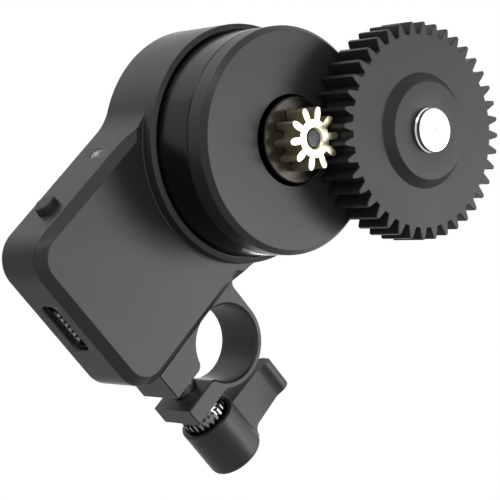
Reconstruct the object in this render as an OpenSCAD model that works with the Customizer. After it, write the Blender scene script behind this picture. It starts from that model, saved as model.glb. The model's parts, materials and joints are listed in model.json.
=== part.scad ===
// Follow focus unit: a geared motor head that swivels in a flat case,
// with a lens gear on the head and a rod clamp on the case's side.
// Every module is drawn with the drum's axis along Z and the case's back at zero;
// stand() then turns it upright, with the origin in the middle of the rod bore.

/* [Lens gear] */
// Module of the lens gear and its pinion
lens_module = 0.8; // [0.5:0.1:1.0]
// Teeth on the lens gear
lens_teeth = 40; // [36:1:48]
// Teeth on the output pinion
pinion_teeth = 10; // [9:1:12]
// Width of the lens gear's teeth
gear_width = 6.4; // [5:0.1:8]
// How far the gear's front stands ahead of the pinion's front
gear_lead = 3; // [1:0.1:4]
// Direction of the gear's axle around the drum's axis
gear_angle = 50.4; // [40:0.1:60]
// Direction of one pinion tooth
pinion_phase = 54; // [0:1:90]
// Radius of the gear's hub where it leaves the face
hub_base_r = 8.85; // [7:0.05:11]
// Radius of the gear's hub at its top
hub_top_r = 7.6; // [6:0.05:9]
// Height of the gear's hub
hub_rise = 1.35; // [0.8:0.05:2]
// Length of the pinion's teeth
pinion_len = 3.8; // [3:0.1:5]

/* [Case] */
// Width of the case's box
box_w = 30; // [28:0.5:34]
// Distance from the drum's lowest point down to the box's end
box_reach = 21.7; // [20.5:0.1:27]
// Thickness of the box
box_depth = 9.9; // [9.2:0.1:11]
// Outer radius of the box's corners
box_corner_r = 5; // [4.5:0.1:6]
// Chamfer round the box's front
box_chamfer = 1.4; // [0.8:0.1:1.8]
// Thickness of the case's walls
wall = 1.8; // [1.5:0.1:2]
// Thickness of the drum's wall round the head
drum_wall = 1.15; // [1.1:0.05:1.6]
// Depth of the case's drum
drum_depth = 12.2; // [11.5:0.1:13.5]
// Radius of the hollow necks between drum and box
neck_r = 8; // [6:0.5:9]
// Radius of the flare from the box's front up to the drum
flare_r = 5; // [4:0.5:8]
// Thickness of the back cover
cover_t = 1.2; // [1.1:0.05:1.3]

/* [Head] */
// Outer radius of the swivelling head
head_r = 17.3; // [16.9:0.1:17.8]
// Height of the head's joint line above the case's back
joint_line = 19; // [18.8:0.1:20]
// Thickness of the front cap
cap_t = 3.78; // [3.6:0.02:4.5]
// Radius of the bearing boss in the cap's middle
boss_r = 6.5; // [6.2:0.1:6.6]
// How far the boss stands proud of the cap
boss_proud = 1; // [0.6:0.1:1.1]
// How far the head turns each way from the photographed position
swivel_reach = 150; // [60:5:160]

/* [Rod clamp] */
// Radius of the rod that the clamp holds
rod_r = 6; // [5.5:0.1:6]
// Wall of the clamp's ring
ring_wall = 1.1; // [1:0.1:1.6]
// Length of the clamp along the rod
clamp_len = 8.9; // [8:0.1:10]
// Width of the clamp's slot
slot_w = 2.9; // [2:0.1:3]
// Thickness of the free jaw
jaw_t = 3.1; // [2.8:0.1:3.6]
// Height of the clamp below the rod's axis
jaw_drop = 12.7; // [12.5:0.1:14]
// Radius of the clamp's screw
screw_r = 2; // [1.8:0.05:2.1]

/* [Clamp lever] */
// Radius of the lever's hub
lever_hub_r = 4.65; // [4.6:0.05:5]
// Length of the lever's hub
lever_hub_len = 8.9; // [8.8:0.1:10]
// Reach of the lever's arm from the screw's axis
arm_reach = 14.3; // [12:0.1:18]
// Thickness of the lever's arm
arm_t = 2.2; // [2:0.1:2.8]
// Teeth of the lever's ratchet
ratchet_teeth = 24; // [16:1:30]
// How far the lever lifts to turn free of its ratchet
lift = 1.8; // [1.7:0.05:1.8]

/* [Controls and socket] */
// Radius of the power button
button_r = 1.75; // [1.5:0.05:2]
// How far the button stands out of the case
button_proud = 1.2; // [0.6:0.1:1.5]
// Travel of the button
button_travel = 0.5; // [0.3:0.05:0.5]
// Width of the opening round the charging socket
port_w = 9.3; // [9.1:0.1:10]
// Height of the opening round the charging socket
port_h = 3.7; // [3.5:0.1:3.9]

/* [Hidden] */
$fn = 96;

// Shared clearances and the overrun of every cut
over = 0.5;
run_gap = 0.05;
press_gap = 0.01;
axial_gap = 0.1;
lay_gap = 0.02;

// Case: derived sizes
half_w = box_w / 2;
drum_r = head_r + run_gap + drum_wall;
box_drop = drum_r + box_reach;
chamfer_start = box_depth - box_chamfer;
taper_h = drum_depth - chamfer_start;
neck_x = half_w + neck_r;
neck_y = -sqrt(pow(drum_r + neck_r, 2) - pow(neck_x, 2));
neck_share = drum_r / (drum_r + neck_r);
rim_chamfer = 0.25;
flare_stop = 0.4;
flare_rise = drum_depth - box_depth - flare_stop;
flare_turn = acos(1 - flare_rise / flare_r);
flare_run = flare_r * sin(flare_turn);
cavity_top = box_depth - wall;

// Back cover, its screws and the posts that take them
cover_rim = 1.3;
cover_gap = 0.08;
m2_r = 1;
m2_hole_r = m2_r + run_gap;
m2_pass_r = 1.15;
csk_r = 1.95;
csk_h = 0.9;
csk_slope = (csk_r - m2_r) / csk_h;
cover_screw_len = 5;
post_r = 2.2;
post_step_r = 1.6;
post_in = 5.5;
post_up = 4.6;
post_top_up = 18.3;
post_top_in = 4.2;
posts = [
  for (s = [-1, 1]) [s * (half_w - post_in), -box_drop + post_up],
  for (s = [-1, 1]) [s * (half_w - post_top_in), -box_drop + post_top_up]
];
hex_r = 0.7;
hex_deep = 0.5;

// Circuit board and what it carries
board_bottom = 1.85;
board_t = 0.85;
board_top = board_bottom + board_t;
board_left_gap = 3;
board_right_gap = 3.3;
board_end_gap = 2.2;
board_left = half_w - board_left_gap;
board_right = half_w - board_right_gap;
board_end = box_drop - board_end_gap;
board_corner = 3;
board_drum_gap = 0.4;
board_pad_x = 4.5;
board_pad_rise = 12.2;
board_pad_y = -box_drop + board_pad_rise;
board_pad_r = 1.2;
radio_size = [8, 6, 1.4];
radio_start = 7.5;
radio_rise = 9.2;
chip_size = [5, 5, 0.9];
chip_start = 2.5;
chip_rise = 9.7;
small_size = [1, 0.5, 0.5];
small_pitch = 1.6;
small_count = 6;
small_start = 6;
small_rise = 16.6;
coil_size = [2.4, 2.4, 1.2];
coil_start = 5.5;
coil_rise = 15.8;
plug_len = 2;
battery_len = 9.6;
battery_rise = 9;
battery_left_gap = 0.4;
battery_right_gap = 0.3;
battery_part_gap = 0.48;
battery_start = -half_w + post_top_in + post_r + battery_left_gap;
battery_stop = half_w - post_top_in - post_r - battery_right_gap;
battery_bottom = board_top + radio_size[2] + battery_part_gap;

// Charging socket in the box's end wall
port_x = -0.3;
port_z = 4.4;
port_corner = 1.2;
socket_w = 8.94;
socket_h = 3.26;
socket_corner = 1.4;
socket_shell = 0.3;
socket_len = 7;
socket_inset = 0.5;
socket_front = -box_drop + socket_inset;
tongue_w = 6.6;
tongue_t = 0.7;
tongue_len = 5.6;
tongue_inset = 0.9;
contact_count = 6;
contact_pitch = 1;
contact_w = 0.5;
contact_t = 0.06;
contact_len = 3;

// Power button, switch, light pipe and lamp in the box's left wall
button_rise = 10.55;
button_y = -box_drop + button_rise;
button_z = 4.2;
button_edge = 0.25;
button_flange_r = 2.3;
button_flange_t = 0.4;
switch_size = [3.2, 4.4, 3.1];
plunger_r = 0.9;
plunger_len = 0.3;
switch_left = half_w - wall - run_gap - button_flange_t - button_travel - run_gap - plunger_len;
pipe_rise = 22.3;
pipe_y = -box_drop + pipe_rise;
pipe_z = 4.5;
pipe_r = 1;
pipe_inset = 0.1;
pipe_flange_r = 1.4;
pipe_flange_t = 0.25;
lamp_size = [0.9, 1.6, 2.6];

// Rod clamp: derived sizes, measured from the drum's axis
bore_wall = 0.2;
clamp_x = half_w + bore_wall + rod_r;
clamp_rise = 17.7;
clamp_y = -box_drop + clamp_rise;
clamp_back = -0.4;
ring_r = rod_r + ring_wall;
slot_off = 0.5;
slot_left = clamp_x + slot_off - slot_w / 2;
slot_right = slot_left + slot_w;
jaw_right = slot_right + jaw_t;
jaw_end = clamp_y - jaw_drop;
bore_chamfer = 0.35;
jaw_blend_r = 2;
blend_x = jaw_right + jaw_blend_r;
blend_y = clamp_y - sqrt(pow(ring_r + jaw_blend_r, 2) - pow(blend_x - clamp_x, 2));
blend_share = ring_r / (ring_r + jaw_blend_r);
screw_drop = 8.4;
screw_y = clamp_y - screw_drop;
screw_z = 3.4;
screw_inset = 1.7;
screw_start = half_w + screw_inset;
screw_play = 0.12;
screw_pass_r = screw_r + screw_play;
jaw_recess_gap = 0.35;
jaw_recess_r = screw_r + jaw_recess_gap;
jaw_recess = 0.3;
mount_head_r = 1.7;
mount_head_t = 1.1;
mount_grip = 1.6;
mount_side = 5.3;
mount_low = 11.1;
mount_z = 4.6;
mount_low_z = 6.2;
mount_places = [
  [clamp_y + mount_side, mount_z], [clamp_y - mount_side, mount_z], [clamp_y - mount_low, mount_low_z]
];

// Clamp lever: places along the screw's axis
insert_start = jaw_right + axial_gap;
insert_neck_len = 1.5;
insert_teeth_len = 3.4;
insert_len = 6.7;
insert_neck_r = 3.2;
insert_root_r = 3.3;
insert_tip_r = 3.72;
insert_body_r = 3.15;
insert_bore_r = screw_r + press_gap;
teeth_start = insert_start + insert_neck_len;
teeth_end = teeth_start + insert_teeth_len;
insert_end = insert_start + insert_len;
knob_lead = 3.1;
knob_start = insert_start + knob_lead;
knob_end = knob_start + lever_hub_len;
knob_lip = 0.4;
knob_mouth_r = 3.85;
ratchet_play = 0.06;
knob_teeth_end = teeth_end;
knob_round = 1.2;
web_start = insert_end + run_gap;
web_t = 0.8;
web_hole_r = 1.3;
spring_room_r = 2.7;
lever_screw_head_r = 2.3;
lever_screw_head_t = 0.8;
lever_screw_inset = 0.2;
lever_head_start = knob_end - lever_screw_inset - lever_screw_head_t;
washer_t = 0.25;
washer_r = 2.4;
screw_reach = 4.3;
screw_end = insert_start + screw_reach;
lever_screw_start = screw_end + axial_gap;
spring_r = 1.85;
spring_wire_r = 0.16;
spring_turns = 3;
spring_sides = 8;
spring_steps = 16;
spring_start = web_start + web_t + lay_gap + spring_wire_r;
spring_len = lever_head_start - washer_t - lay_gap - spring_wire_r - spring_start;
spring_rings = spring_turns * spring_steps;
arm_front = 2.3;
arm_tip_r = 1.45;
arm_left_base = 0.6;
arm_left_tip = 1;
arm_right_base = 7.3;
arm_right_tip = 7;
arm_corner_r = 0.7;
arm_root = 4.1;
arm_blend_r = 1.5;

// Head: heights above the case's back
lip_back = 3.5;
lip_t = 1.2;
lip_front = lip_back + lip_t;
lip_step = 0.55;
lip_reach = 2.3;
retainer_room_r = head_r + run_gap - lip_step;
lip_r = retainer_room_r - lip_reach;
mouth_gap = 0.4;
mouth_r = head_r + mouth_gap;
mouth_deep = 1.2;
barrel_back = lip_front + axial_gap;
barrel_floor_t = 1.8;
barrel_floor = barrel_back + barrel_floor_t;
barrel_seam = 0.13;
barrel_top = joint_line - barrel_seam;
spigot_r = lip_r - run_gap;
spigot_wall = 3.45;
spigot_in_r = spigot_r - spigot_wall;
spigot_back = 3.2;
barrel_rim = 1.4;
barrel_seat_step = 1;
barrel_seat_r = head_r - barrel_rim;
barrel_in_r = barrel_seat_r - barrel_seat_step;
retainer_t = 1.1;
retainer_gap = 0.2;
retainer_r = retainer_room_r - retainer_gap;
retainer_in_r = spigot_in_r + retainer_gap;
retainer_ring_r = (spigot_in_r + spigot_r) / 2;
retainer_count = 4;
flat_head_r = 1.7;
flat_head_t = 0.65;
retainer_thread = 1.3;
stop_r = 0.8;
stop_inset = 1.3;
stop_ring_r = head_r - stop_inset;
stop_angle = gear_angle + 180;
stop_rise = 0.9;
stop_play = 0.1;
groove_slack = 2;
groove_over = asin((stop_r + stop_play) / stop_ring_r) + groove_slack;

// Motor inside the head
motor_room = 2.9;
motor_r = barrel_in_r - motor_room;
motor_wall = 0.7;
motor_plate_t = 0.8;
motor_back = barrel_floor;
motor_len = 5.7;
motor_top = motor_back + motor_len;
motor_shaft_r = 1;
bearing_small_r = 2.6;
stator_gap = 0.1;
stator_inset = 1.2;
stator_back = motor_back + stator_inset;
stator_h = 3;
stator_yoke = 1.6;
stator_slots = 9;
stator_tooth_w = 1.4;
stator_bore_share = 0.6465;
stator_r = motor_r - motor_wall - press_gap;
stator_in_r = stator_r * stator_bore_share;
coil_w = 2.4;
coil_h = 3.6;
coil_len = 1.7;
air_gap = 0.3;
magnet_t = 2;
magnet_r = stator_in_r - air_gap;
magnet_in_r = magnet_r - magnet_t;
rotor_hub_inset = 0.5;
motor_screw_inset = 2;
motor_screw_ring_r = spigot_in_r - motor_screw_inset;
motor_screw_count = 3;
motor_screw_seat = barrel_back + flat_head_t + run_gap;
motor_screw_len = 1.9;

// Planetary gears inside the head
sun_teeth = 12;
planet_teeth = 18;
ring_teeth = sun_teeth + 2 * planet_teeth;
ring_rim = 3.25;
ring_tooth_shares = [[1.2, 0], [0, 0], [-0.5, 0.06], [-0.9, 0.18]];
planet_module = (barrel_seat_r - run_gap - ring_rim) / (ring_teeth / 2 + ring_tooth_shares[0][0]);
planet_ring_r = planet_module * (sun_teeth + planet_teeth) / 2;
planet_count = 3;
mesh_play = 0.06;
pressure_angle = 20;
ring_seat = 12.6;
ring_h = 3.6;
planet_inset = 0.35;
planet_back = ring_seat + planet_inset;
planet_h = 2.9;
sun_h = 2.8;
planet_pin_r = 1;
carrier_gap = 0.25;
carrier_back = planet_back + planet_h + carrier_gap;
carrier_t = 1.5;
carrier_rim = 1.5;
carrier_r = planet_ring_r + planet_pin_r + carrier_rim;
planet_pin_tail = 0.2;
outer_tooth_shares = [[-1.2, 0], [-0.6, 0], [0, 0], [0.5, 0.06], [0.96, 0.18]];

// Cap, boss, bearing and shaft
cap_back = joint_line;
cap_front = cap_back + cap_t;
cap_chamfer_in = 0.72;
cap_chamfer_down = 0.9;
cap_skirt_wall = 1.7;
cap_skirt_in_r = barrel_seat_r - cap_skirt_wall;
boss_front = cap_front + boss_proud;
boss_gap = 0.38;
boss_hole_r = boss_r + boss_gap;
boss_flange_r = 9;
boss_flange_t = 1;
boss_flange_gap = 0.1;
boss_seat_depth = 0.9;
boss_seat = cap_back + boss_seat_depth;
boss_back = boss_seat - boss_flange_t;
boss_screw_r = 0.8;
boss_screw_ring_r = 7.75;
boss_screw_count = 3;
boss_screw_head_r = 1.2;
boss_screw_head_t = 0.6;
boss_screw_len = 2.2;
shaft_r = 2;
shaft_hole_r = 2.3;
bearing_r = 4;
bearing_h = 3;
race_t = 0.55;
ball_count = 7;
ball_r = (bearing_r - shaft_r - 2 * race_t - 2 * lay_gap) / 2;
ball_ring_r = (bearing_r + shaft_r) / 2;
bearing_back = boss_back + run_gap;
pinion_gap = 0.06;
pinion_back = boss_front + pinion_gap;
pinion_front = pinion_back + pinion_len;
pinion_shaft_r = 1.4;
pinion_shaft_inset = 0.15;
shaft_chamfer = 0.22;
pinion_bore_chamfer = 0.25;

// Lens gear and its axle
lens_pitch_r = lens_module * lens_teeth / 2;
pinion_pitch_r = lens_module * pinion_teeth / 2;
gear_centre_r = lens_pitch_r + pinion_pitch_r;
gear_x = gear_centre_r * cos(gear_angle);
gear_y = gear_centre_r * sin(gear_angle);
gear_front = pinion_front + gear_lead;
gear_back = gear_front - gear_width;
hub_top = gear_front + hub_rise;
// The tooth that would meet the pinion's tooth is moved by half a pitch
mesh_offset = (pinion_phase - gear_angle) * pinion_teeth / lens_teeth;
gear_phase = gear_angle + 180 - mesh_offset + 180 / lens_teeth;
gear_profile_shares = [[-1.3125, 0.95], [-0.875, 0.875], [0, 0.65], [0.69, 0.44], [1, 0.3]];
pinion_profile_shares = [
  [-1.375, 0.625], [-0.875, 0.7], [-0.125, 0.74], [0.4375, 0.66], [0.8125, 0.48], [1.03, 0.2]
];
ear_r = 6.3;
axle_r = 2.5;
axle_thread_r = 1.5;
axle_thread_len = 3.4;
axle_head_r = 3.55;
axle_head_t = 1;
axle_groove = 0.2;
axle_groove_at = 0.3;
axle_groove_h = 0.16;
axle_edge = 0.08;
axle_head_gap = 0.1;
axle_top = hub_top + axle_head_gap;
bush_r = 3.5;
axle_play = 0.04;
bush_bore_r = axle_r + axle_play;
thrust_r = 4.2;
thrust_gap = 0.15;

// Slip ring between head and case
slip_in_r = 2.6;
slip_gap = 2.5;
slip_r = spigot_in_r - slip_gap;
slip_t = 0.78;
track_pitch = 1.5;
track_rs = [for (i = [1:3]) slip_r - i * track_pitch];
track_w = 0.8;
track_t = 0.08;
track_back = barrel_back - lay_gap - slip_t - track_t;
brush_size = [3, 5, 1.2];
brush_start = 3;
brush_top = cover_t + lay_gap + brush_size[2];
brush_pin_r = 0.35;
ribbon_t = 0.14;
ribbon_w = 4.4;
ribbon_back = cover_t + lay_gap;
ribbon_reach = 4;
ribbon_end = drum_r + ribbon_reach;
ribbon_slot_h = 0.5;

// Turns the drum's axis to the front and puts the rod bore's middle at the origin
module stand() {
  rotate([90, 0, 0])
    translate([-clamp_x, -clamp_y, -clamp_back - clamp_len / 2])
      children();
}

// Places children with their Z along the model's width
module along_x(x, y, z) {
  translate([x, y, z]) rotate([0, 90, 0]) children();
}

// Extrudes an outline drawn in height and depth along the model's width
module extrude_x(x, len) {
  translate([x, 0, 0]) rotate([90, 0, 90]) linear_extrude(len) children();
}

// Extrudes an outline drawn in width and depth upwards
module extrude_y(y, len) {
  translate([0, y + len, 0]) rotate([90, 0, 0]) linear_extrude(len) children();
}

module tube(r, in_r, h) {
  difference() {
    cylinder(r = r, h = h);
    translate([0, 0, -over]) cylinder(r = in_r, h = h + 2 * over);
  }
}

module around(count, r, start = 0) {
  for (i = [0:count - 1])
    rotate([0, 0, start + i * 360 / count]) translate([r, 0, 0]) children();
}

module round_rect(w, h, r) {
  square([w - 2 * r, h], center = true);
  square([w, h - 2 * r], center = true);
  for (sx = [-1, 1], sy = [-1, 1])
    translate([sx * (w / 2 - r), sy * (h / 2 - r)]) circle(r);
}

// One tooth: points from root to tip and back, each a radius and a half width
function tooth_points(turn, profile) = concat(
  [for (p = profile) [p[0] * cos(turn - p[1] / p[0] * 180 / PI),
                      p[0] * sin(turn - p[1] / p[0] * 180 / PI)]],
  [for (k = [len(profile) - 1:-1:0])
    let (p = profile[k]) [p[0] * cos(turn + p[1] / p[0] * 180 / PI),
                          p[0] * sin(turn + p[1] / p[0] * 180 / PI)]]
);
function gear_points(teeth, profile, phase) = [
  for (i = [0:teeth - 1], q = tooth_points(phase + i * 360 / teeth, profile)) q
];
function share_profile(pitch_r, mod, shares) = [for (s = shares) [pitch_r + s[0] * mod, s[1] * mod]];
// Straight flanks at the pressure angle, eased a little towards the tip
function flank_profile(pitch_r, mod, shares) = [
  for (s = shares) [
    pitch_r + s[0] * mod,
    PI * mod / 4 - mesh_play - s[0] * mod * tan(pressure_angle) - s[1] * mod
  ]
];

// The case seen from the front, drawn in by inset
module box_outline(inset) {
  r = box_corner_r - inset;
  w = half_w - inset;
  bottom = -box_drop + inset;
  translate([-w, bottom + r]) square([2 * w, -bottom - r]);
  translate([-w + r, bottom]) square([2 * (w - r), -bottom]);
  for (s = [-1, 1]) translate([s * (w - r), bottom + r]) circle(r);
}

module neck_web(inner) {
  polygon([
    [inner, neck_y], [neck_x, neck_y], [neck_share * neck_x, neck_share * neck_y],
    [inner, neck_share * neck_y]
  ]);
}

module case_outline(inset = 0) {
  box_outline(inset);
  circle(drum_r - inset);
  for (s = [0, 1]) mirror([s, 0]) difference() {
    neck_web(half_w - wall - inset);
    translate([neck_x, neck_y]) circle(neck_r + inset);
  }
}

// The box above its chamfer's start: every side leans in at 45 degrees
module box_taper() {
  translate([0, 0, chamfer_start]) {
    extrude_y(-box_drop + box_corner_r, box_drop - box_corner_r)
      polygon([[-half_w, 0], [half_w, 0], [half_w - taper_h, taper_h], [-half_w + taper_h, taper_h]]);
    extrude_x(-half_w + box_corner_r, box_w - 2 * box_corner_r)
      polygon([[-box_drop, 0], [0, 0], [0, taper_h], [-box_drop + taper_h, taper_h]]);
    for (s = [-1, 1])
      translate([s * (half_w - box_corner_r), -box_drop + box_corner_r, 0])
        cylinder(r1 = box_corner_r, r2 = box_corner_r - taper_h, h = taper_h);
    for (s = [0, 1]) mirror([s, 0, 0]) difference() {
      linear_extrude(taper_h) neck_web(half_w - taper_h - over);
      translate([neck_x, neck_y, 0]) cylinder(r1 = neck_r, r2 = neck_r + taper_h, h = taper_h);
    }
  }
}

module flare() {
  rotate_extrude() difference() {
    translate([0, box_depth - over]) square([drum_r + flare_run, flare_rise + over]);
    translate([drum_r + flare_run, box_depth + flare_r]) circle(flare_r);
  }
}

module case_body() {
  linear_extrude(chamfer_start) case_outline();
  intersection() {
    box_taper();
    union() {
      linear_extrude(box_depth) case_outline();
      flare();
    }
  }
  rotate_extrude() polygon([
    [0, 0], [drum_r, 0], [drum_r, drum_depth - rim_chamfer],
    [drum_r - rim_chamfer, drum_depth], [0, drum_depth]
  ]);
}

module drum_bore() {
  rotate_extrude() polygon([
    [0, cover_t - over], [retainer_room_r, cover_t - over], [retainer_room_r, lip_back],
    [lip_r, lip_back], [lip_r, lip_front], [head_r + run_gap, lip_front],
    [head_r + run_gap, drum_depth - mouth_deep], [mouth_r, drum_depth - mouth_deep],
    [mouth_r, drum_depth + over], [0, drum_depth + over]
  ]);
}

module board_posts() {
  for (p = posts) translate([p[0], p[1], 0]) {
    translate([0, 0, cover_t]) cylinder(r = post_step_r, h = cavity_top - cover_t);
    translate([0, 0, board_top]) cylinder(r = post_r, h = cavity_top - board_top);
  }
}

module housing() {
  color("#3a3a3c") stand() difference() {
    union() {
      difference() {
        case_body();
        translate([0, 0, -over]) linear_extrude(cover_t + over) case_outline(cover_rim);
        translate([0, 0, cover_t - over]) linear_extrude(cavity_top - cover_t + over) difference() {
          box_outline(wall);
          circle(drum_r);
        }
      }
      board_posts();
    }
    drum_bore();
    for (p = posts) translate([p[0], p[1], cover_t - over])
      cylinder(r = m2_hole_r, h = cover_screw_len + over);
    extrude_y(-box_drop - over, wall + 2 * over)
      translate([port_x, port_z]) round_rect(port_w, port_h, port_corner);
    along_x(-half_w - over, button_y, button_z) cylinder(r = button_r + run_gap, h = wall + 2 * over);
    along_x(-half_w - over, pipe_y, pipe_z) cylinder(r = pipe_r + run_gap, h = wall + 2 * over);
    for (p = mount_places)
      along_x(half_w - wall - over, p[0], p[1]) cylinder(r = m2_pass_r, h = wall + 2 * over);
    rotate([0, 0, stop_angle]) translate([stop_ring_r, 0, lip_back - over])
      cylinder(r = stop_r, h = lip_t + 2 * over);
    translate([-ribbon_w / 2 - cover_gap, -drum_r - over, cover_t - lay_gap])
      cube([ribbon_w + 2 * cover_gap, drum_r - retainer_room_r + 2 * over, ribbon_slot_h]);
  }
}

module back_cover() {
  color("#343436") stand() {
    difference() {
      linear_extrude(cover_t) case_outline(cover_rim + cover_gap);
      for (p = posts) translate([p[0], p[1], 0]) {
        translate([0, 0, -over]) cylinder(r = m2_pass_r, h = cover_t + 2 * over);
        translate([0, 0, -over])
          cylinder(r1 = csk_r + run_gap + over * csk_slope, r2 = m2_r + run_gap, h = csk_h + over);
      }
    }
    for (s = [-1, 1]) translate([s * board_pad_x, board_pad_y, cover_t])
      cylinder(r = board_pad_r, h = board_bottom - lay_gap - cover_t);
  }
}
module back_cover_screws() {
  color("#2a2a2c") stand() for (p = posts) translate([p[0], p[1], 0]) difference() {
    union() {
      cylinder(r1 = csk_r, r2 = m2_r, h = csk_h);
      cylinder(r = m2_r, h = cover_screw_len);
    }
    translate([0, 0, -over]) cylinder(r = hex_r, h = hex_deep + over, $fn = 6);
  }
}

module circuit_board() {
  color("#1f4d36") stand() translate([0, 0, board_bottom]) linear_extrude(board_t) difference() {
    union() {
      translate([-board_left, -board_end + board_corner])
        square([board_left + board_right, board_end - board_corner]);
      translate([-board_left + board_corner, -board_end])
        square([board_left + board_right - 2 * board_corner, board_end]);
      translate([-board_left + board_corner, -board_end + board_corner]) circle(board_corner);
      translate([board_right - board_corner, -board_end + board_corner]) circle(board_corner);
    }
    circle(drum_r + board_drum_gap);
    translate([-half_w, -drum_r + board_drum_gap + wall]) square([box_w, drum_r]);
    for (p = posts) translate(p) circle(post_step_r + axial_gap);
  }
}

module radio_module() {
  color("silver") stand() translate([-radio_start, -box_drop + radio_rise, board_top]) cube(radio_size);
}

module controller_chip() {
  color("#151515") stand() translate([chip_start, -box_drop + chip_rise, board_top]) cube(chip_size);
}

module board_parts() {
  color("#b08d57") stand() {
    for (i = [0:small_count - 1])
      translate([-small_start + i * small_pitch, -box_drop + small_rise, board_top]) cube(small_size);
    translate([coil_start, -box_drop + coil_rise, board_top]) cube(coil_size);
    translate([-ribbon_w / 2, -ribbon_end, ribbon_back + ribbon_t])
      cube([ribbon_w, plug_len, board_bottom - ribbon_back - ribbon_t]);
  }
}

module battery_cell() {
  color("#b9bec4") stand()
    translate([battery_start, -box_drop + battery_rise, battery_bottom])
      cube([battery_stop - battery_start, battery_len, cavity_top - lay_gap - battery_bottom]);
}

module usb_socket() {
  color("silver") stand() difference() {
    extrude_y(socket_front, socket_len)
      translate([port_x, port_z]) round_rect(socket_w, socket_h, socket_corner);
    extrude_y(socket_front - over, socket_len - socket_shell + over)
      translate([port_x, port_z])
        round_rect(socket_w - 2 * socket_shell, socket_h - 2 * socket_shell, socket_corner - socket_shell);
  }
}

module usb_tongue() {
  color("#1b1b1d") stand()
    extrude_y(socket_front + socket_len - socket_shell - tongue_len, tongue_len)
      translate([port_x, port_z]) square([tongue_w, tongue_t], center = true);
}

module usb_contacts() {
  color("gold") stand() for (i = [0:contact_count - 1], side = [-1, 1])
    extrude_y(socket_front + socket_len - socket_shell - tongue_len + contact_w, contact_len)
      translate([
        port_x + (i - (contact_count - 1) / 2) * contact_pitch,
        port_z + side * (tongue_t + contact_t) / 2
      ]) square([contact_w, contact_t], center = true);
}

module tact_switch() {
  color("silver") stand() {
    translate([-switch_left, button_y - switch_size[1] / 2, board_top]) cube(switch_size);
    along_x(-switch_left - plunger_len, button_y, button_z) cylinder(r = plunger_r, h = plunger_len);
  }
}

module light_pipe() {
  color("#e8eef2") stand() {
    along_x(-half_w + pipe_inset, pipe_y, pipe_z) cylinder(r = pipe_r, h = wall - pipe_inset + lay_gap);
    along_x(-half_w + wall + lay_gap, pipe_y, pipe_z) cylinder(r = pipe_flange_r, h = pipe_flange_t);
  }
}

module status_led() {
  color("white") stand()
    translate([-board_left + lay_gap, pipe_y - lamp_size[1] / 2, board_top]) cube(lamp_size);
}

module clamp_outline() {
  difference() {
    union() {
      translate([half_w, jaw_end]) square([slot_left - half_w, -jaw_end + clamp_y + ring_r]);
      translate([half_w, clamp_y]) square([clamp_x - half_w, ring_r]);
      translate([clamp_x, clamp_y]) intersection() {
        circle(ring_r);
        translate([half_w - clamp_x, -ring_r]) square(2 * ring_r);
      }
      translate([slot_right, jaw_end]) square([jaw_t, clamp_y - jaw_end]);
      difference() {
        polygon([
          [slot_right, blend_y], [blend_x, blend_y],
          [clamp_x + blend_share * (blend_x - clamp_x), clamp_y + blend_share * (blend_y - clamp_y)],
          [slot_right, clamp_y]
        ]);
        translate([blend_x, blend_y]) circle(jaw_blend_r);
      }
    }
    translate([clamp_x, clamp_y]) circle(rod_r);
    translate([slot_left, jaw_end - over]) square([slot_w, clamp_y - jaw_end]);
  }
}

module rod_clamp() {
  color("#3c3c3e") stand() difference() {
    translate([0, 0, clamp_back]) linear_extrude(clamp_len) clamp_outline();
    translate([clamp_x, clamp_y, clamp_back - over])
      cylinder(r1 = rod_r + bore_chamfer + over, r2 = rod_r, h = bore_chamfer + over);
    translate([clamp_x, clamp_y, clamp_back + clamp_len - bore_chamfer])
      cylinder(r1 = rod_r, r2 = rod_r + bore_chamfer + over, h = bore_chamfer + over);
    along_x(screw_start, screw_y, screw_z)
      cylinder(r = screw_r + run_gap, h = slot_w + slot_left - screw_start);
    along_x(slot_right - over, screw_y, screw_z) cylinder(r = screw_pass_r, h = jaw_t + 2 * over);
    along_x(slot_left - jaw_recess, screw_y, screw_z)
      cylinder(r = jaw_recess_r, h = slot_w + 2 * jaw_recess);
    for (p = mount_places)
      along_x(half_w - over, p[0], p[1]) cylinder(r = m2_hole_r, h = mount_grip + over + axial_gap);
  }
}

module clamp_mounting_screws() {
  color("#2a2a2c") stand() for (p = mount_places) difference() {
    union() {
      along_x(half_w - wall - mount_head_t - lay_gap, p[0], p[1])
        cylinder(r = mount_head_r, h = mount_head_t);
      along_x(half_w - wall - lay_gap - run_gap, p[0], p[1])
        cylinder(r = m2_r, h = wall + mount_grip);
    }
    along_x(half_w - wall - mount_head_t - lay_gap - over, p[0], p[1])
      cylinder(r = hex_r, h = hex_deep + over, $fn = 6);
  }
}

module stop_pin() {
  color("silver") stand() rotate([0, 0, stop_angle])
    translate([stop_ring_r, 0, lip_back]) cylinder(r = stop_r, h = lip_t + stop_rise);
}

module brush_block() {
  color("#202022") stand()
    translate([-brush_size[0] / 2, -brush_start - brush_size[1], cover_t + lay_gap]) cube(brush_size);
}

module brush_pins() {
  color("gold") stand() for (r = track_rs)
    translate([0, -r, brush_top])
      cylinder(r = brush_pin_r, h = track_back - lay_gap - brush_top, $fn = 32);
}

module motor_ribbon() {
  color("#a65a2a") stand()
    translate([-ribbon_w / 2, -ribbon_end, ribbon_back])
      cube([ribbon_w, ribbon_end - brush_start - brush_size[1] - lay_gap, ribbon_t]);
}

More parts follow.
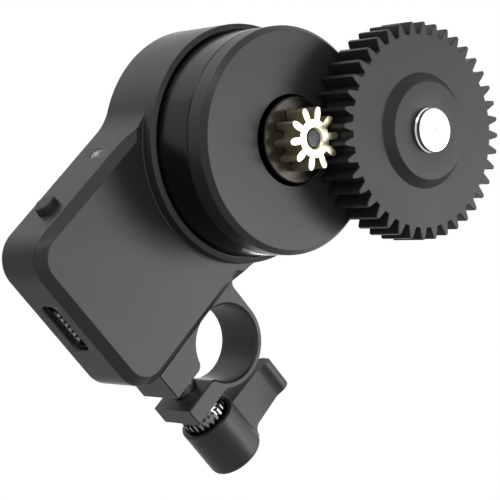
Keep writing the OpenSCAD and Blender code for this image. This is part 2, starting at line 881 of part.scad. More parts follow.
module head_barrel() {
  color("#0e0e10") stand() difference() {
    rotate_extrude() polygon([
      [spigot_in_r, spigot_back], [spigot_r, spigot_back], [spigot_r, barrel_back],
      [head_r, barrel_back], [head_r, barrel_top], [barrel_seat_r, barrel_top],
      [barrel_seat_r, ring_seat], [barrel_in_r, ring_seat], [barrel_in_r, barrel_floor],
      [0, barrel_floor], [0, barrel_back], [spigot_in_r, barrel_back]
    ]);
    rotate([0, 0, stop_angle - swivel_reach - groove_over])
      rotate_extrude(angle = 2 * (swivel_reach + groove_over))
        translate([stop_ring_r - stop_r - stop_play, barrel_back - over])
          square([2 * (stop_r + stop_play), stop_rise + stop_play + over]);
    around(retainer_count, retainer_ring_r)
      translate([0, 0, spigot_back - over]) cylinder(r = m2_hole_r, h = retainer_thread + over, $fn = 32);
    around(motor_screw_count, motor_screw_ring_r) {
      translate([0, 0, barrel_back - over])
        cylinder(r = m2_pass_r, h = barrel_floor_t + 2 * over, $fn = 32);
      translate([0, 0, barrel_back - over])
        cylinder(r = flat_head_r + run_gap, h = motor_screw_seat - barrel_back + over, $fn = 48);
    }
  }
}

module front_cap() {
  color("#3a3a3c") stand() difference() {
    union() {
      rotate_extrude() polygon([
        [0, cap_back], [head_r, cap_back], [head_r, cap_front - cap_chamfer_down],
        [head_r - cap_chamfer_in, cap_front], [0, cap_front]
      ]);
      translate([0, 0, ring_seat + ring_h + run_gap])
        tube(barrel_seat_r - run_gap, cap_skirt_in_r, cap_back - ring_seat - ring_h);
      translate([0, 0, cap_back]) linear_extrude(cap_t) rotate(gear_angle) {
        translate([gear_centre_r, 0]) circle(ear_r);
        translate([gear_centre_r / 2, -ear_r]) square([gear_centre_r / 2, 2 * ear_r]);
      }
    }
    translate([0, 0, cap_back - over]) cylinder(r = boss_hole_r, h = cap_t + 2 * over);
    translate([0, 0, cap_back - over])
      cylinder(r = boss_flange_r + boss_flange_gap, h = boss_seat - cap_back + over);
    around(boss_screw_count, boss_screw_ring_r, gear_angle)
      translate([0, 0, boss_seat - over])
        cylinder(r = boss_screw_r + lay_gap, h = boss_screw_len, $fn = 32);
    translate([gear_x, gear_y, cap_back - over])
      cylinder(r = axle_thread_r + lay_gap, h = cap_t + 2 * over);
  }
}

module head_retainer() {
  color("silver") stand() difference() {
    translate([0, 0, spigot_back - retainer_t]) tube(retainer_r, retainer_in_r, retainer_t);
    around(retainer_count, retainer_ring_r)
      translate([0, 0, spigot_back - retainer_t - over])
        cylinder(r = m2_pass_r, h = retainer_t + 2 * over, $fn = 32);
  }
}

module pan_screw(head_r, head_t, r, len) {
  difference() {
    union() {
      translate([0, 0, -head_t]) cylinder(r = head_r, h = head_t, $fn = 48);
      cylinder(r = r, h = len, $fn = 32);
    }
    translate([0, 0, -head_t - over]) cylinder(r = hex_r, h = head_t / 2 + over, $fn = 6);
  }
}

module retainer_screws() {
  color("#2a2a2c") stand() around(retainer_count, retainer_ring_r)
    translate([0, 0, spigot_back - retainer_t])
      pan_screw(flat_head_r, flat_head_t, m2_r, retainer_t + retainer_thread - run_gap);
}

module friction_washer() {
  color("#d8d2c0") stand() translate([0, 0, spigot_back + lay_gap])
    tube(retainer_r - axial_gap, lip_r + axial_gap, lip_back - spigot_back - 2 * lay_gap);
}

module slip_ring_board() {
  color("#1f4d36") stand() translate([0, 0, track_back + track_t]) tube(slip_r, slip_in_r, slip_t);
}

module slip_ring_tracks() {
  color("gold") stand() translate([0, 0, track_back])
    for (r = track_rs) tube(r + track_w / 2, r - track_w / 2, track_t);
}

module motor_can() {
  color("#4a4d52") stand() difference() {
    rotate_extrude() polygon([
      [bearing_small_r, motor_back], [motor_r, motor_back], [motor_r, motor_top],
      [motor_r - motor_wall, motor_top], [motor_r - motor_wall, motor_back + motor_plate_t],
      [bearing_small_r, motor_back + motor_plate_t]
    ]);
    around(motor_screw_count, motor_screw_ring_r)
      translate([0, 0, motor_back - over]) cylinder(r = m2_hole_r, h = motor_plate_t + 2 * over, $fn = 32);
  }
}

module motor_end_plate() {
  color("#6a6d72") stand() translate([0, 0, motor_top - motor_plate_t])
    tube(stator_r, bearing_small_r, motor_plate_t);
}

module motor_screws() {
  color("#2a2a2c") stand() around(motor_screw_count, motor_screw_ring_r)
    translate([0, 0, motor_screw_seat])
      pan_screw(flat_head_r, flat_head_t, m2_r, motor_screw_len);
}

module motor_bearings() {
  color("#c9a34a") stand() for (z = [motor_back, motor_top - motor_plate_t])
    translate([0, 0, z]) tube(bearing_small_r - press_gap, motor_shaft_r + run_gap, motor_plate_t);
}

module stator_core() {
  color("#55585c") stand() translate([0, 0, stator_back]) linear_extrude(stator_h) {
    difference() {
      circle(stator_r);
      circle(stator_r - stator_yoke);
    }
    difference() {
      around(stator_slots, 0)
        translate([0, -stator_tooth_w / 2]) square([stator_r - stator_yoke / 2, stator_tooth_w]);
      circle(stator_in_r);
    }
  }
}

module stator_coils() {
  color("#b5652d") stand() around(stator_slots, stator_in_r + stator_gap)
    translate([0, 0, stator_back + stator_h / 2]) rotate([0, 90, 0]) linear_extrude(coil_len) difference() {
      square([coil_h, coil_w], center = true);
      square([stator_h + lay_gap, stator_tooth_w + lay_gap], center = true);
    }
}

module ring_gear() {
  color("#8a8d92") stand() translate([0, 0, ring_seat]) linear_extrude(ring_h) difference() {
    circle(barrel_seat_r - run_gap);
    polygon(gear_points(ring_teeth,
      inner_profile(planet_module * ring_teeth / 2, planet_module, ring_tooth_shares), 180 / ring_teeth));
  }
}
// The space between two inward teeth, from its mouth to its floor
function inner_profile(pitch_r, mod, shares) = [
  for (k = [len(shares) - 1:-1:0]) let (s = shares[k]) [
    pitch_r + s[0] * mod,
    (pitch_r + s[0] * mod) * PI / (pitch_r * 2 / mod)
      - (PI * mod / 4 - mesh_play + s[0] * mod * tan(pressure_angle) - s[1] * mod)
  ]
];

module bearing_boss() {
  color("#2b2b2d") stand() difference() {
    union() {
      translate([0, 0, boss_back]) cylinder(r = boss_r, h = boss_front - boss_back);
      translate([0, 0, boss_back]) cylinder(r = boss_flange_r, h = boss_flange_t);
    }
    translate([0, 0, boss_back - over]) cylinder(r = shaft_hole_r, h = boss_front);
    translate([0, 0, boss_back - over])
      cylinder(r = bearing_r + press_gap, h = bearing_back + bearing_h + lay_gap - boss_back + over);
    around(boss_screw_count, boss_screw_ring_r, gear_angle)
      translate([0, 0, boss_back - over])
        cylinder(r = boss_screw_r + run_gap, h = boss_flange_t + 2 * over, $fn = 32);
  }
}

module boss_screws() {
  color("#2a2a2c") stand() around(boss_screw_count, boss_screw_ring_r, gear_angle)
    translate([0, 0, boss_back])
      pan_screw(boss_screw_head_r, boss_screw_head_t, boss_screw_r, boss_screw_len);
}

module output_bearing_outer() {
  color("silver") stand() translate([0, 0, bearing_back]) {
    tube(bearing_r, bearing_r - race_t, bearing_h);
    around(ball_count, ball_ring_r) translate([0, 0, bearing_h / 2]) sphere(r = ball_r, $fn = 24);
  }
}

module output_bearing_inner() {
  color("silver") stand() translate([0, 0, bearing_back])
    tube(shaft_r + press_gap + race_t, shaft_r + press_gap, bearing_h);
}

module gear_axle() {
  color("#e6e8ea") stand() translate([gear_x, gear_y, 0]) rotate_extrude() polygon([
    [0, cap_front - axle_thread_len], [axle_thread_r, cap_front - axle_thread_len],
    [axle_thread_r, cap_front], [axle_r, cap_front], [axle_r, axle_top],
    [axle_head_r, axle_top], [axle_head_r, axle_top + axle_groove_at],
    [axle_head_r - axle_groove, axle_top + axle_groove_at],
    [axle_head_r - axle_groove, axle_top + axle_groove_at + axle_groove_h],
    [axle_head_r, axle_top + axle_groove_at + axle_groove_h],
    [axle_head_r, axle_top + axle_head_t - axle_edge],
    [axle_head_r - axle_edge, axle_top + axle_head_t], [0, axle_top + axle_head_t]
  ]);
}

module thrust_washer() {
  color("#b9bcc0") stand() translate([gear_x, gear_y, cap_front])
    tube(thrust_r, bush_bore_r, gear_back - cap_front - thrust_gap);
}

module drive_gear() {
  color("#39393b") stand() translate([gear_x, gear_y, 0]) difference() {
    union() {
      translate([0, 0, gear_back]) linear_extrude(gear_width)
        polygon(gear_points(lens_teeth,
          share_profile(lens_pitch_r, lens_module, gear_profile_shares), gear_phase));
      translate([0, 0, gear_front]) cylinder(r1 = hub_base_r, r2 = hub_top_r, h = hub_rise);
    }
    translate([0, 0, gear_back - over]) cylinder(r = bush_r, h = gear_width + hub_rise + 2 * over);
  }
}

module gear_bush() {
  color("#c9a34a") stand() translate([gear_x, gear_y, gear_back])
    tube(bush_r - press_gap, bush_bore_r, gear_width + hub_rise);
}

module planet_carrier() {
  color("#9a9da2") stand() difference() {
    translate([0, 0, carrier_back]) cylinder(r = carrier_r, h = carrier_t);
    translate([0, 0, carrier_back - over]) cylinder(r = shaft_r + press_gap, h = carrier_t + 2 * over);
    around(planet_count, planet_ring_r)
      translate([0, 0, carrier_back - over])
        cylinder(r = planet_pin_r + press_gap, h = carrier_t + 2 * over);
  }
}

module output_shaft() {
  top = pinion_front - pinion_shaft_inset;
  color("#5c5e62") stand() rotate_extrude() polygon([
    [0, carrier_back], [shaft_r, carrier_back], [shaft_r, pinion_back - run_gap],
    [pinion_shaft_r, pinion_back - run_gap], [pinion_shaft_r, top - shaft_chamfer],
    [pinion_shaft_r - shaft_chamfer, top], [0, top]
  ]);
}

module pinion() {
  color("#c9b98a") stand() difference() {
    translate([0, 0, pinion_back]) linear_extrude(pinion_len)
      polygon(gear_points(pinion_teeth,
        share_profile(pinion_pitch_r, lens_module, pinion_profile_shares), pinion_phase));
    translate([0, 0, pinion_back - over])
      cylinder(r = pinion_shaft_r + press_gap, h = pinion_len + 2 * over);
    translate([0, 0, pinion_front - pinion_bore_chamfer])
      cylinder(r1 = pinion_shaft_r, r2 = pinion_shaft_r + over, h = over);
  }
}

module planet_pins() {
  color("silver") stand() around(planet_count, planet_ring_r)
    translate([0, 0, planet_back - planet_pin_tail])
      cylinder(r = planet_pin_r, h = carrier_back + carrier_t - planet_back + planet_pin_tail, $fn = 48);
}

module motor_shaft() {
  color("silver") stand() {
    translate([0, 0, motor_back + run_gap])
      cylinder(r = motor_shaft_r, h = planet_back + planet_h - motor_back - run_gap, $fn = 48);
    translate([0, 0, stator_back + rotor_hub_inset])
      cylinder(r = magnet_in_r - press_gap, h = stator_h - 2 * rotor_hub_inset);
  }
}

module rotor_magnet() {
  color("#3f4247") stand() translate([0, 0, stator_back]) tube(magnet_r, magnet_in_r, stator_h);
}

module spur_gear(teeth, h, bore_r, phase) {
  difference() {
    linear_extrude(h)
      polygon(gear_points(teeth,
        flank_profile(planet_module * teeth / 2, planet_module, outer_tooth_shares), phase));
    translate([0, 0, -over]) cylinder(r = bore_r, h = h + 2 * over, $fn = 48);
  }
}

module sun_gear() {
  color("#b8bbc0") stand() translate([0, 0, planet_back])
    spur_gear(sun_teeth, sun_h, motor_shaft_r + press_gap, 0);
}

// A planet's gap faces the sun's tooth, and its outer gap the ring's tooth
module planet_gear(i) {
  turn = i * 360 / planet_count;
  color("#d9d4c4") stand()
    translate([planet_ring_r * cos(turn), planet_ring_r * sin(turn), planet_back])
      spur_gear(planet_teeth, planet_h, planet_pin_r + run_gap, turn + 180 / planet_teeth);
}

module power_button() {
  color("#141416") stand() along_x(0, button_y, button_z) rotate_extrude() polygon([
    [0, -half_w - button_proud], [button_r - button_edge, -half_w - button_proud],
    [button_r, -half_w - button_proud + button_edge], [button_r, -half_w + wall + run_gap],
    [button_flange_r, -half_w + wall + run_gap],
    [button_flange_r, -half_w + wall + run_gap + button_flange_t],
    [0, -half_w + wall + run_gap + button_flange_t]
  ]);
}

// A thread's end chamfer is as wide as the play around the screw
module clamp_screw() {
  color("#b9bcc0") stand() along_x(0, screw_y, screw_z) rotate_extrude() polygon([
    [0, screw_start + axial_gap], [screw_r - shaft_chamfer, screw_start + axial_gap],
    [screw_r, screw_start + axial_gap + shaft_chamfer], [screw_r, screw_end], [0, screw_end]
  ]);
}

module ratchet_outline(root_r, tip_r, teeth) {
  polygon([
    for (i = [0:teeth - 1], k = [0:3])
      let (turn = (i + k / 4) * 360 / teeth, r = k < 2 ? root_r : tip_r) [r * cos(turn), r * sin(turn)]
  ]);
}

module ratchet_insert() {
  color("#e6e8ea") stand() along_x(0, screw_y, screw_z) difference() {
    union() {
      translate([0, 0, insert_start]) cylinder(r = insert_neck_r, h = insert_neck_len);
      translate([0, 0, teeth_start]) linear_extrude(insert_teeth_len)
        ratchet_outline(insert_root_r, insert_tip_r, ratchet_teeth);
      translate([0, 0, teeth_end]) cylinder(r = insert_body_r, h = insert_end - teeth_end);
    }
    translate([0, 0, insert_start - over]) cylinder(r = insert_bore_r, h = screw_end - insert_start + over);
    translate([0, 0, insert_start]) cylinder(r = m2_r + press_gap, h = insert_len + over);
  }
}

module lever_screw() {
  color("#2a2a2c") stand() along_x(0, screw_y, screw_z) difference() {
    union() {
      translate([0, 0, lever_screw_start]) cylinder(r = m2_r, h = lever_head_start - lever_screw_start);
      translate([0, 0, lever_head_start]) cylinder(r = lever_screw_head_r, h = lever_screw_head_t);
    }
    translate([0, 0, lever_head_start + lever_screw_head_t - hex_deep])
      cylinder(r = 2 * hex_r, h = hex_deep + over, $fn = 6);
  }
}

module lever_washer() {
  color("silver") stand() along_x(0, screw_y, screw_z)
    translate([0, 0, lever_head_start - washer_t]) tube(washer_r, m2_r + run_gap, washer_t);
}

// The lever's coil spring: one round wire swept along a helix
function spring_point(i, j) =
  let (turn = 360 * i / spring_steps,
       side = 360 * j / spring_sides,
       r = spring_r + spring_wire_r * cos(side))
  [r * cos(turn), r * sin(turn),
   spring_start + spring_len * i / (spring_turns * spring_steps) + spring_wire_r * sin(side)];
module lever_spring() {
  n = spring_sides;
  color("silver") stand() along_x(0, screw_y, screw_z) polyhedron(
    points = [for (i = [0:spring_rings], j = [0:n - 1]) spring_point(i, j)],
    faces = concat(
      [for (i = [0:spring_rings - 1], j = [0:n - 1])
        [i * n + j, (i + 1) * n + j, (i + 1) * n + (j + 1) % n]],
      [for (i = [0:spring_rings - 1], j = [0:n - 1])
        [i * n + j, (i + 1) * n + (j + 1) % n, i * n + (j + 1) % n]],
      [for (j = [1:n - 2]) [0, j, j + 1]],
      [for (j = [1:n - 2]) [spring_rings * n, spring_rings * n + j + 1, spring_rings * n + j]]
    )
  );
}

// The arm seen from its side: a flat bar with a round raised lip at its tip
module arm_side() {
  translate([0, arm_front - arm_t]) square([arm_reach - arm_tip_r, arm_t]);
  translate([arm_reach - arm_tip_r, arm_front - arm_t + arm_tip_r]) circle(arm_tip_r);
}

// The arm seen from the front: tapered, with round corners and a blend at its root
module arm_face() {
  tip = arm_reach - arm_corner_r;
  difference() {
    union() {
      polygon([
        [knob_start + arm_left_base, 0], [knob_start + arm_right_base, 0],
        [knob_start + arm_right_base, arm_root], [knob_start + arm_right_tip, tip],
        [knob_start + arm_left_tip, tip], [knob_start + arm_left_base, arm_root]
      ]);
      translate([knob_start + arm_left_tip + arm_corner_r, tip - arm_corner_r])
        square([arm_right_tip - arm_left_tip - 2 * arm_corner_r, 2 * arm_corner_r]);
      for (x = [arm_left_tip + arm_corner_r, arm_right_tip - arm_corner_r])
        translate([knob_start + x, tip]) circle(arm_corner_r);
      translate([knob_start + arm_right_base, 0]) square([arm_blend_r, arm_root + arm_blend_r]);
    }
    translate([knob_start + arm_right_base + arm_blend_r, arm_root + arm_blend_r]) circle(arm_blend_r);
  }
}

module knob_hub() {
  rotate_extrude() {
    difference() {
      union() {
        translate([0, knob_start + knob_lip]) square([lever_hub_r, lever_hub_len - knob_lip - knob_round]);
        translate([0, knob_start]) square([lever_hub_r - knob_lip, lever_hub_len]);
        translate([0, knob_start + knob_lip]) square([lever_hub_r - knob_round, lever_hub_len - knob_lip]);
      }
      translate([lever_hub_r - knob_round, knob_end - knob_round]) square(knob_round + over);
    }
    translate([lever_hub_r - knob_round, knob_end - knob_round]) circle(knob_round);
    translate([lever_hub_r - knob_lip, knob_start + knob_lip]) circle(knob_lip);
  }
}

module lever_knob() {
  color("#3f3f41") stand() difference() {
    union() {
      along_x(0, screw_y, screw_z) knob_hub();
      intersection() {
        extrude_x(knob_start, lever_hub_len) translate([screw_y, screw_z]) arm_side();
        translate([0, screw_y, screw_z + arm_front - arm_t - over])
          linear_extrude(2 * arm_tip_r + 2 * over) arm_face();
      }
    }
    along_x(0, screw_y, screw_z) {
      translate([0, 0, knob_start - over]) cylinder(r = knob_mouth_r, h = knob_lip + over);
      translate([0, 0, knob_start]) linear_extrude(knob_teeth_end - knob_start)
        ratchet_outline(insert_root_r + ratchet_play, insert_tip_r + ratchet_play, ratchet_teeth);
      translate([0, 0, knob_teeth_end]) cylinder(r = knob_mouth_r, h = web_start - knob_teeth_end);
      translate([0, 0, web_start - over]) cylinder(r = web_hole_r, h = web_t + 2 * over);
      translate([0, 0, web_start + web_t]) cylinder(r = spring_room_r, h = lever_hub_len);
    }
  }
}

housing();
back_cover();
back_cover_screws();
circuit_board();
radio_module();
controller_chip();
board_parts();
battery_cell();
usb_socket();
usb_tongue();
usb_contacts();
tact_switch();
light_pipe();
status_led();
rod_clamp();
clamp_mounting_screws();
stop_pin();
brush_block();
brush_pins();
motor_ribbon();
head_barrel();
front_cap();
head_retainer();
retainer_screws();
friction_washer();
slip_ring_board();
slip_ring_tracks();
motor_can();
motor_end_plate();
motor_screws();
motor_bearings();
stator_core();
stator_coils();
ring_gear();
bearing_boss();
boss_screws();
output_bearing_outer();
gear_axle();
thrust_washer();
drive_gear();
gear_bush();
planet_carrier();
output_shaft();
pinion();
planet_pins();
output_bearing_inner();
motor_shaft();
rotor_magnet();
sun_gear();
planet_gear(0);  // planet_gear_1
planet_gear(1);  // planet_gear_2
planet_gear(2);  // planet_gear_3
power_button();
clamp_screw();
ratchet_insert();
lever_screw();
lever_washer();
lever_spring();
lever_knob();
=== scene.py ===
import json
from contextlib import contextmanager
from math import acos, asin, atan2, cos, degrees, hypot, pi, radians, sin, sqrt, tan

import bmesh
import bpy
from mathutils import Matrix, Vector


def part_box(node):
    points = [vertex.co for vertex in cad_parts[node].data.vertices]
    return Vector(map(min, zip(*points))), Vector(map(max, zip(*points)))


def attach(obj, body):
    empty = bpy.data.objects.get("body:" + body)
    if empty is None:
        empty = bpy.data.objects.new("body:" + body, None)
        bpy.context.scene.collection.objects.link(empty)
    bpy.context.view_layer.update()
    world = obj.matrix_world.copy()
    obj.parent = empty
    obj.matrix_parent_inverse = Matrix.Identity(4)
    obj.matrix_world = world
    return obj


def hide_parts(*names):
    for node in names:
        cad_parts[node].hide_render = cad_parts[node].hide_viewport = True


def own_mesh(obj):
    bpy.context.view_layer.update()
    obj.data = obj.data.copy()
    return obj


# Follow focus unit. The machined parts that show are drawn again here with broken edges,
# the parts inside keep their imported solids, and everything gets a real finish.
# Shapes are drawn in millimetres from the drum's axis: u across, v up, w from the case's
# back to the front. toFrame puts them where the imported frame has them.
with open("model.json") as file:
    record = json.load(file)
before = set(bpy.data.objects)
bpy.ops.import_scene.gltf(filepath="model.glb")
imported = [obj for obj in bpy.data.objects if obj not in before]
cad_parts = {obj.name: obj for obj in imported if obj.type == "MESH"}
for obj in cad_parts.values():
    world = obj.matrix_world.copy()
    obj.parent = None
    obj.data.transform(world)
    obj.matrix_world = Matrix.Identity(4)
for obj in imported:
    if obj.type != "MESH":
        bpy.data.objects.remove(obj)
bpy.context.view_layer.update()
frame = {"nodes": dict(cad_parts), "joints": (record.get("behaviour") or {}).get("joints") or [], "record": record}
drumJoint = next(j for j in frame["joints"] if j["name"] == "head_swivel")
drumAxis = (drumJoint["pos_m"][0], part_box("housing")[1].y, drumJoint["pos_m"][2])
toFrame = Matrix.Translation(drumAxis) @ Matrix.Rotation(pi / 2, 4, "X") @ Matrix.Scale(0.001, 4)

# Steps of a corner's curve on the case, how near two points count as one, and the least
# length that gets its own edge
bendSteps = (0, 0.33, 0.67, 1)
drawnDouble, finishedDouble = 1e-4, 2e-4
tiny = 1e-3


def bend(start, corner, stop, t):
    # A point of the short curve that rounds a corner
    return tuple(Vector(start) * (1 - t) ** 2 + Vector(corner) * 2 * t * (1 - t)
                 + Vector(stop) * t ** 2)


def softCorners(outline, steps=3, closed=False):
    # Rounds an outline of (x, y, edge size)
    count = len(outline)
    result = []
    for i, (x, y, size) in enumerate(outline):
        before, here, after = (Vector(outline[k % count][:2]) for k in (i - 1, i, i + 1))
        back, forth = before - here, after - here
        turn = back.angle(forth, pi)
        isEnd = not closed and i in (0, count - 1)
        isStraight = turn > pi - 0.02 or min(back.length, forth.length) < 1e-6
        if size <= 0 or isEnd or isStraight:
            result.append((x, y))
            continue
        reach = min(size / tan(turn / 2), 0.48 * back.length, 0.48 * forth.length)
        start, stop = here + back.normalized() * reach, here + forth.normalized() * reach
        result += [bend(start, here, stop, k / steps) for k in range(steps + 1)]
    return result


def arcPoints(cx, cy, r, start, stop, steps, skipped=()):
    # Points of an arc, given in degrees, from 0 to steps without the skipped ones
    turns = [radians(start + (stop - start) * k / steps)
             for k in range(steps + 1) if k not in skipped]
    return [(cx + r * cos(a), cy + r * sin(a)) for a in turns]


def roundRect(width, height, corner, grow=0.0):
    w, h, r = width / 2 + grow, height / 2 + grow, corner + grow
    return [point for x, y, start in ((w - r, h - r, 0), (r - w, h - r, 90),
                                      (r - w, r - h, 180), (w - r, r - h, 270))
            for point in arcPoints(x, y, r, start, start + 90, 8)]


def fullTurn(count):
    return [2 * pi * i / count for i in range(count)]


def polarRow(row, h):
    # Points of (radius, angle) at a height
    return [(r * cos(a), r * sin(a), h) for r, a in row]


def circle(r, h, angles):
    return polarRow([(r, a) for a in angles], h)


def raised(outline, h):
    return [(x, y, h) for x, y in outline]


def shiftedTo(u, v):
    return Matrix.Translation((u, v, 0))


def alongU(u, v, w):
    # A piece turned so that its height runs across the model
    return Matrix.Translation((u, v, w)) @ Matrix.Rotation(pi / 2, 4, "Y")


def aroundAxis(r, count, start=0.0):
    # Places evenly round the drum's axis
    return [shiftedTo(r * cos(a + radians(start)), r * sin(a + radians(start)))
            for a in fullTurn(count)]


@contextmanager
def shapeOf(mesh):
    # Opens a mesh for editing and writes it back
    shape = bmesh.new()
    shape.from_mesh(mesh)
    yield shape
    shape.to_mesh(mesh)
    shape.free()


def linked(name, mesh):
    piece = bpy.data.objects.new(name, mesh)
    bpy.context.scene.collection.objects.link(piece)
    return piece


def meshPiece(name, points, faces, place=None, merge=drawnDouble):
    # A closed mesh in the drawing's millimetres, with doubles merged and faces outwards
    mesh = bpy.data.meshes.new(name)
    mesh.from_pydata([tuple(p) for p in points], [], faces)
    with shapeOf(mesh) as shape:
        bmesh.ops.remove_doubles(shape, verts=shape.verts, dist=merge)
        bmesh.ops.dissolve_degenerate(shape, edges=shape.edges, dist=merge)
        if place is not None:
            shape.transform(place)
        bmesh.ops.recalc_face_normals(shape, faces=shape.faces)
    return linked(name, mesh)


def loftPiece(name, rows, place=None, loop=True, ring=False, caps=False, merge=drawnDouble):
    # Skins rows of points. ring joins the last row to the first; caps close both with a face
    count = len(rows[0])
    points = [p for row in rows for p in row]
    pairs = [(k, k + 1) for k in range(len(rows) - 1)] + ([(len(rows) - 1, 0)] if ring else [])
    faces = [(a * count + i, a * count + j, b * count + j, b * count + i)
             for a, b in pairs for i in range(count if loop else count - 1)
             for j in [(i + 1) % count]]
    if caps:
        faces += [tuple(range(count)),
                  tuple(range(len(points) - 1, len(points) - 1 - count, -1))]
    return meshPiece(name, points, faces, place, merge)


def lathePiece(name, profile, turns=128, place=None, ring=False):
    # Turns a profile of (radius, height) round the height's axis
    angles = fullTurn(turns)
    return loftPiece(name, [circle(r, h, angles) for r, h in profile], place, ring=ring)


def prismPiece(name, outline, low, high):
    return loftPiece(name, [raised(outline, low), raised(outline, high)], caps=True)


def applied(piece):
    # Modifiers become plain mesh
    bpy.context.view_layer.update()
    evaluated = piece.evaluated_get(bpy.context.evaluated_depsgraph_get())
    mesh = bpy.data.meshes.new_from_object(evaluated)
    piece.modifiers.clear()
    old, piece.data = piece.data, mesh
    bpy.data.meshes.remove(old)
    mesh.name = piece.name
    return piece


def joined(name, pieces):
    mesh = bpy.data.meshes.new(name)
    with shapeOf(mesh) as shape:
        for piece in pieces:
            shape.from_mesh(piece.data)
            bpy.data.objects.remove(piece)
    return linked(name, mesh)


def turnedAt(name, profile, turns, places):
    # One turned form at each place, as one piece
    return joined(name, [lathePiece(f"{name}{i}", profile, turns, place)
                         for i, place in enumerate(places)])


def carved(piece, tool, operation="DIFFERENCE"):
    cut = piece.modifiers.new("cut", "BOOLEAN")
    cut.operation = operation
    cut.solver = "EXACT"
    cut.object = tool
    applied(piece)
    bpy.data.objects.remove(tool)
    return piece


def finished(piece, body, node, slot, finishName=None, angle=32, weighted=True):
    # Edges that turn by more than angle stay sharp
    with shapeOf(piece.data) as shape:
        print(piece.name, "open edges:", sum(len(e.link_faces) != 2 for e in shape.edges))
        bmesh.ops.remove_doubles(shape, verts=shape.verts, dist=finishedDouble)
        bmesh.ops.dissolve_degenerate(shape, edges=shape.edges, dist=finishedDouble)
        bmesh.ops.triangulate(shape, faces=[f for f in shape.faces if len(f.verts) > 4])
        shape.transform(toFrame)
        for face in shape.faces:
            face.smooth = True
        for edge in shape.edges:
            edge.smooth = (len(edge.link_faces) == 2
                           and edge.calc_face_angle(0) < radians(angle))
    if weighted:
        normals = piece.modifiers.new("normals", "WEIGHTED_NORMAL")
        normals.keep_sharp = True
        normals.weight = 80
        applied(piece)
    piece.data.materials.clear()
    piece.data.materials.append(finishes[finishName or slot])
    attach(piece, body)
    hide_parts(node)
    return piece


def emptyTree(owner):
    # The node tree of a material or world, cleared
    owner.use_nodes = True
    owner.node_tree.nodes.clear()
    return owner.node_tree


def addNode(tree, kind, given=None):
    # Adds a node with what is given, by name or number: a socket or a node, which stands
    # for its first output, is linked; another value sets an option or an input
    node = tree.nodes.new(kind)
    for key, value in (given or {}).items():
        if isinstance(value, bpy.types.Node):
            value = value.outputs[0]
        if isinstance(value, bpy.types.NodeSocket):
            tree.links.new(value, node.inputs[key])
        elif isinstance(key, str) and hasattr(node, key):
            setattr(node, key, value)
        else:
            node.inputs[key].default_value = value
    return node


def mathNode(tree, operation, *values):
    return addNode(tree, "ShaderNodeMath", {"operation": operation, **dict(enumerate(values))})


# Geometry Nodes for what repeats

def growTree(name, inputs):
    # A tree that takes a piece, the named inputs and a material
    tree = bpy.data.node_groups.new(name, "GeometryNodeTree")
    for title, kind in (("Geometry", "Geometry"), *inputs, ("Material", "Material")):
        tree.interface.new_socket(title, in_out="INPUT", socket_type="NodeSocket" + kind)
    tree.interface.new_socket("Geometry", in_out="OUTPUT", socket_type="NodeSocketGeometry")
    return tree, addNode(tree, "NodeGroupInput").outputs


def treeEnd(tree, given, solid):
    coated = addNode(tree, "GeometryNodeSetMaterial",
                     {"Geometry": solid, "Material": given["Material"]})
    addNode(tree, "NodeGroupOutput", {0: coated})
    return tree


def copiesAt(tree, given, places, turned=(0, 0, 0)):
    # The given piece at each place, as real mesh
    part = addNode(tree, "GeometryNodeGeometryToInstance", {0: given["Geometry"]})
    copies = addNode(tree, "GeometryNodeInstanceOnPoints",
                     {"Points": places, "Instance": part, "Rotation": turned})
    return addNode(tree, "GeometryNodeRealizeInstances", {0: copies})


def ringTree():
    # One sector in, the whole ring out: gear teeth and ratchet teeth
    tree, given = growTree("sectorToRing", [
        ("Count", "Int"), ("Start angle", "Float"), ("Merge distance", "Float")])
    index = addNode(tree, "GeometryNodeInputIndex")
    share = mathNode(tree, "DIVIDE", 2 * pi, given["Count"])
    turn = mathNode(tree, "MULTIPLY_ADD", index, share, given["Start angle"])
    angles = addNode(tree, "ShaderNodeCombineXYZ", {"Z": turn})
    places = addNode(tree, "GeometryNodePoints", {"Count": given["Count"]})
    merged = addNode(tree, "GeometryNodeMergeByDistance", {
        "Geometry": copiesAt(tree, given, places, angles), "Distance": given["Merge distance"]})
    return treeEnd(tree, given, merged)


def placesTree():
    # One piece in, a copy at each point of another mesh out: screws and contacts
    tree, given = growTree("pieceToPlaces", [("Places", "Object")])
    marks = addNode(tree, "GeometryNodeObjectInfo", {"Object": given["Places"]})
    return treeEnd(tree, given, copiesAt(tree, given, marks.outputs["Geometry"]))


def springTree():
    # A round wire along a helix
    tree, given = growTree("wireToSpring", [
        ("Turns", "Float"), ("Coil radius", "Float"), ("Length", "Float"),
        ("Wire radius", "Float"), ("Steps a turn", "Int")])
    path = addNode(tree, "GeometryNodeCurveSpiral", {
        "Resolution": given["Steps a turn"], "Rotations": given["Turns"],
        "Start Radius": given["Coil radius"], "End Radius": given["Coil radius"],
        "Height": given["Length"]})
    wire = addNode(tree, "GeometryNodeCurvePrimitiveCircle",
                   {"Resolution": 12, "Radius": given["Wire radius"]})
    coil = addNode(tree, "GeometryNodeCurveToMesh",
                   {"Fill Caps": True, "Curve": path, "Profile Curve": wire})
    return treeEnd(tree, given, addNode(tree, "GeometryNodeRealizeInstances", {0: coil}))


trees = {"ring": ringTree(), "places": placesTree(), "spring": springTree()}


def grown(piece, treeName, **values):
    # Runs one of the trees on a piece and keeps the result as plain mesh
    grow = piece.modifiers.new(treeName, "NODES")
    grow.node_group = trees[treeName]
    wanted = {title.replace("_", " "): value for title, value in values.items()}
    for socket in trees[treeName].interface.items_tree:
        if socket.in_out == "INPUT" and socket.name in wanted:
            grow[socket.identifier] = wanted[socket.name]
    return applied(piece)


def copied(piece, places, coat):
    marks = meshPiece("places", places, [])
    grown(piece, "places", Places=marks, Material=finishes[coat])
    bpy.data.objects.remove(marks)
    return piece


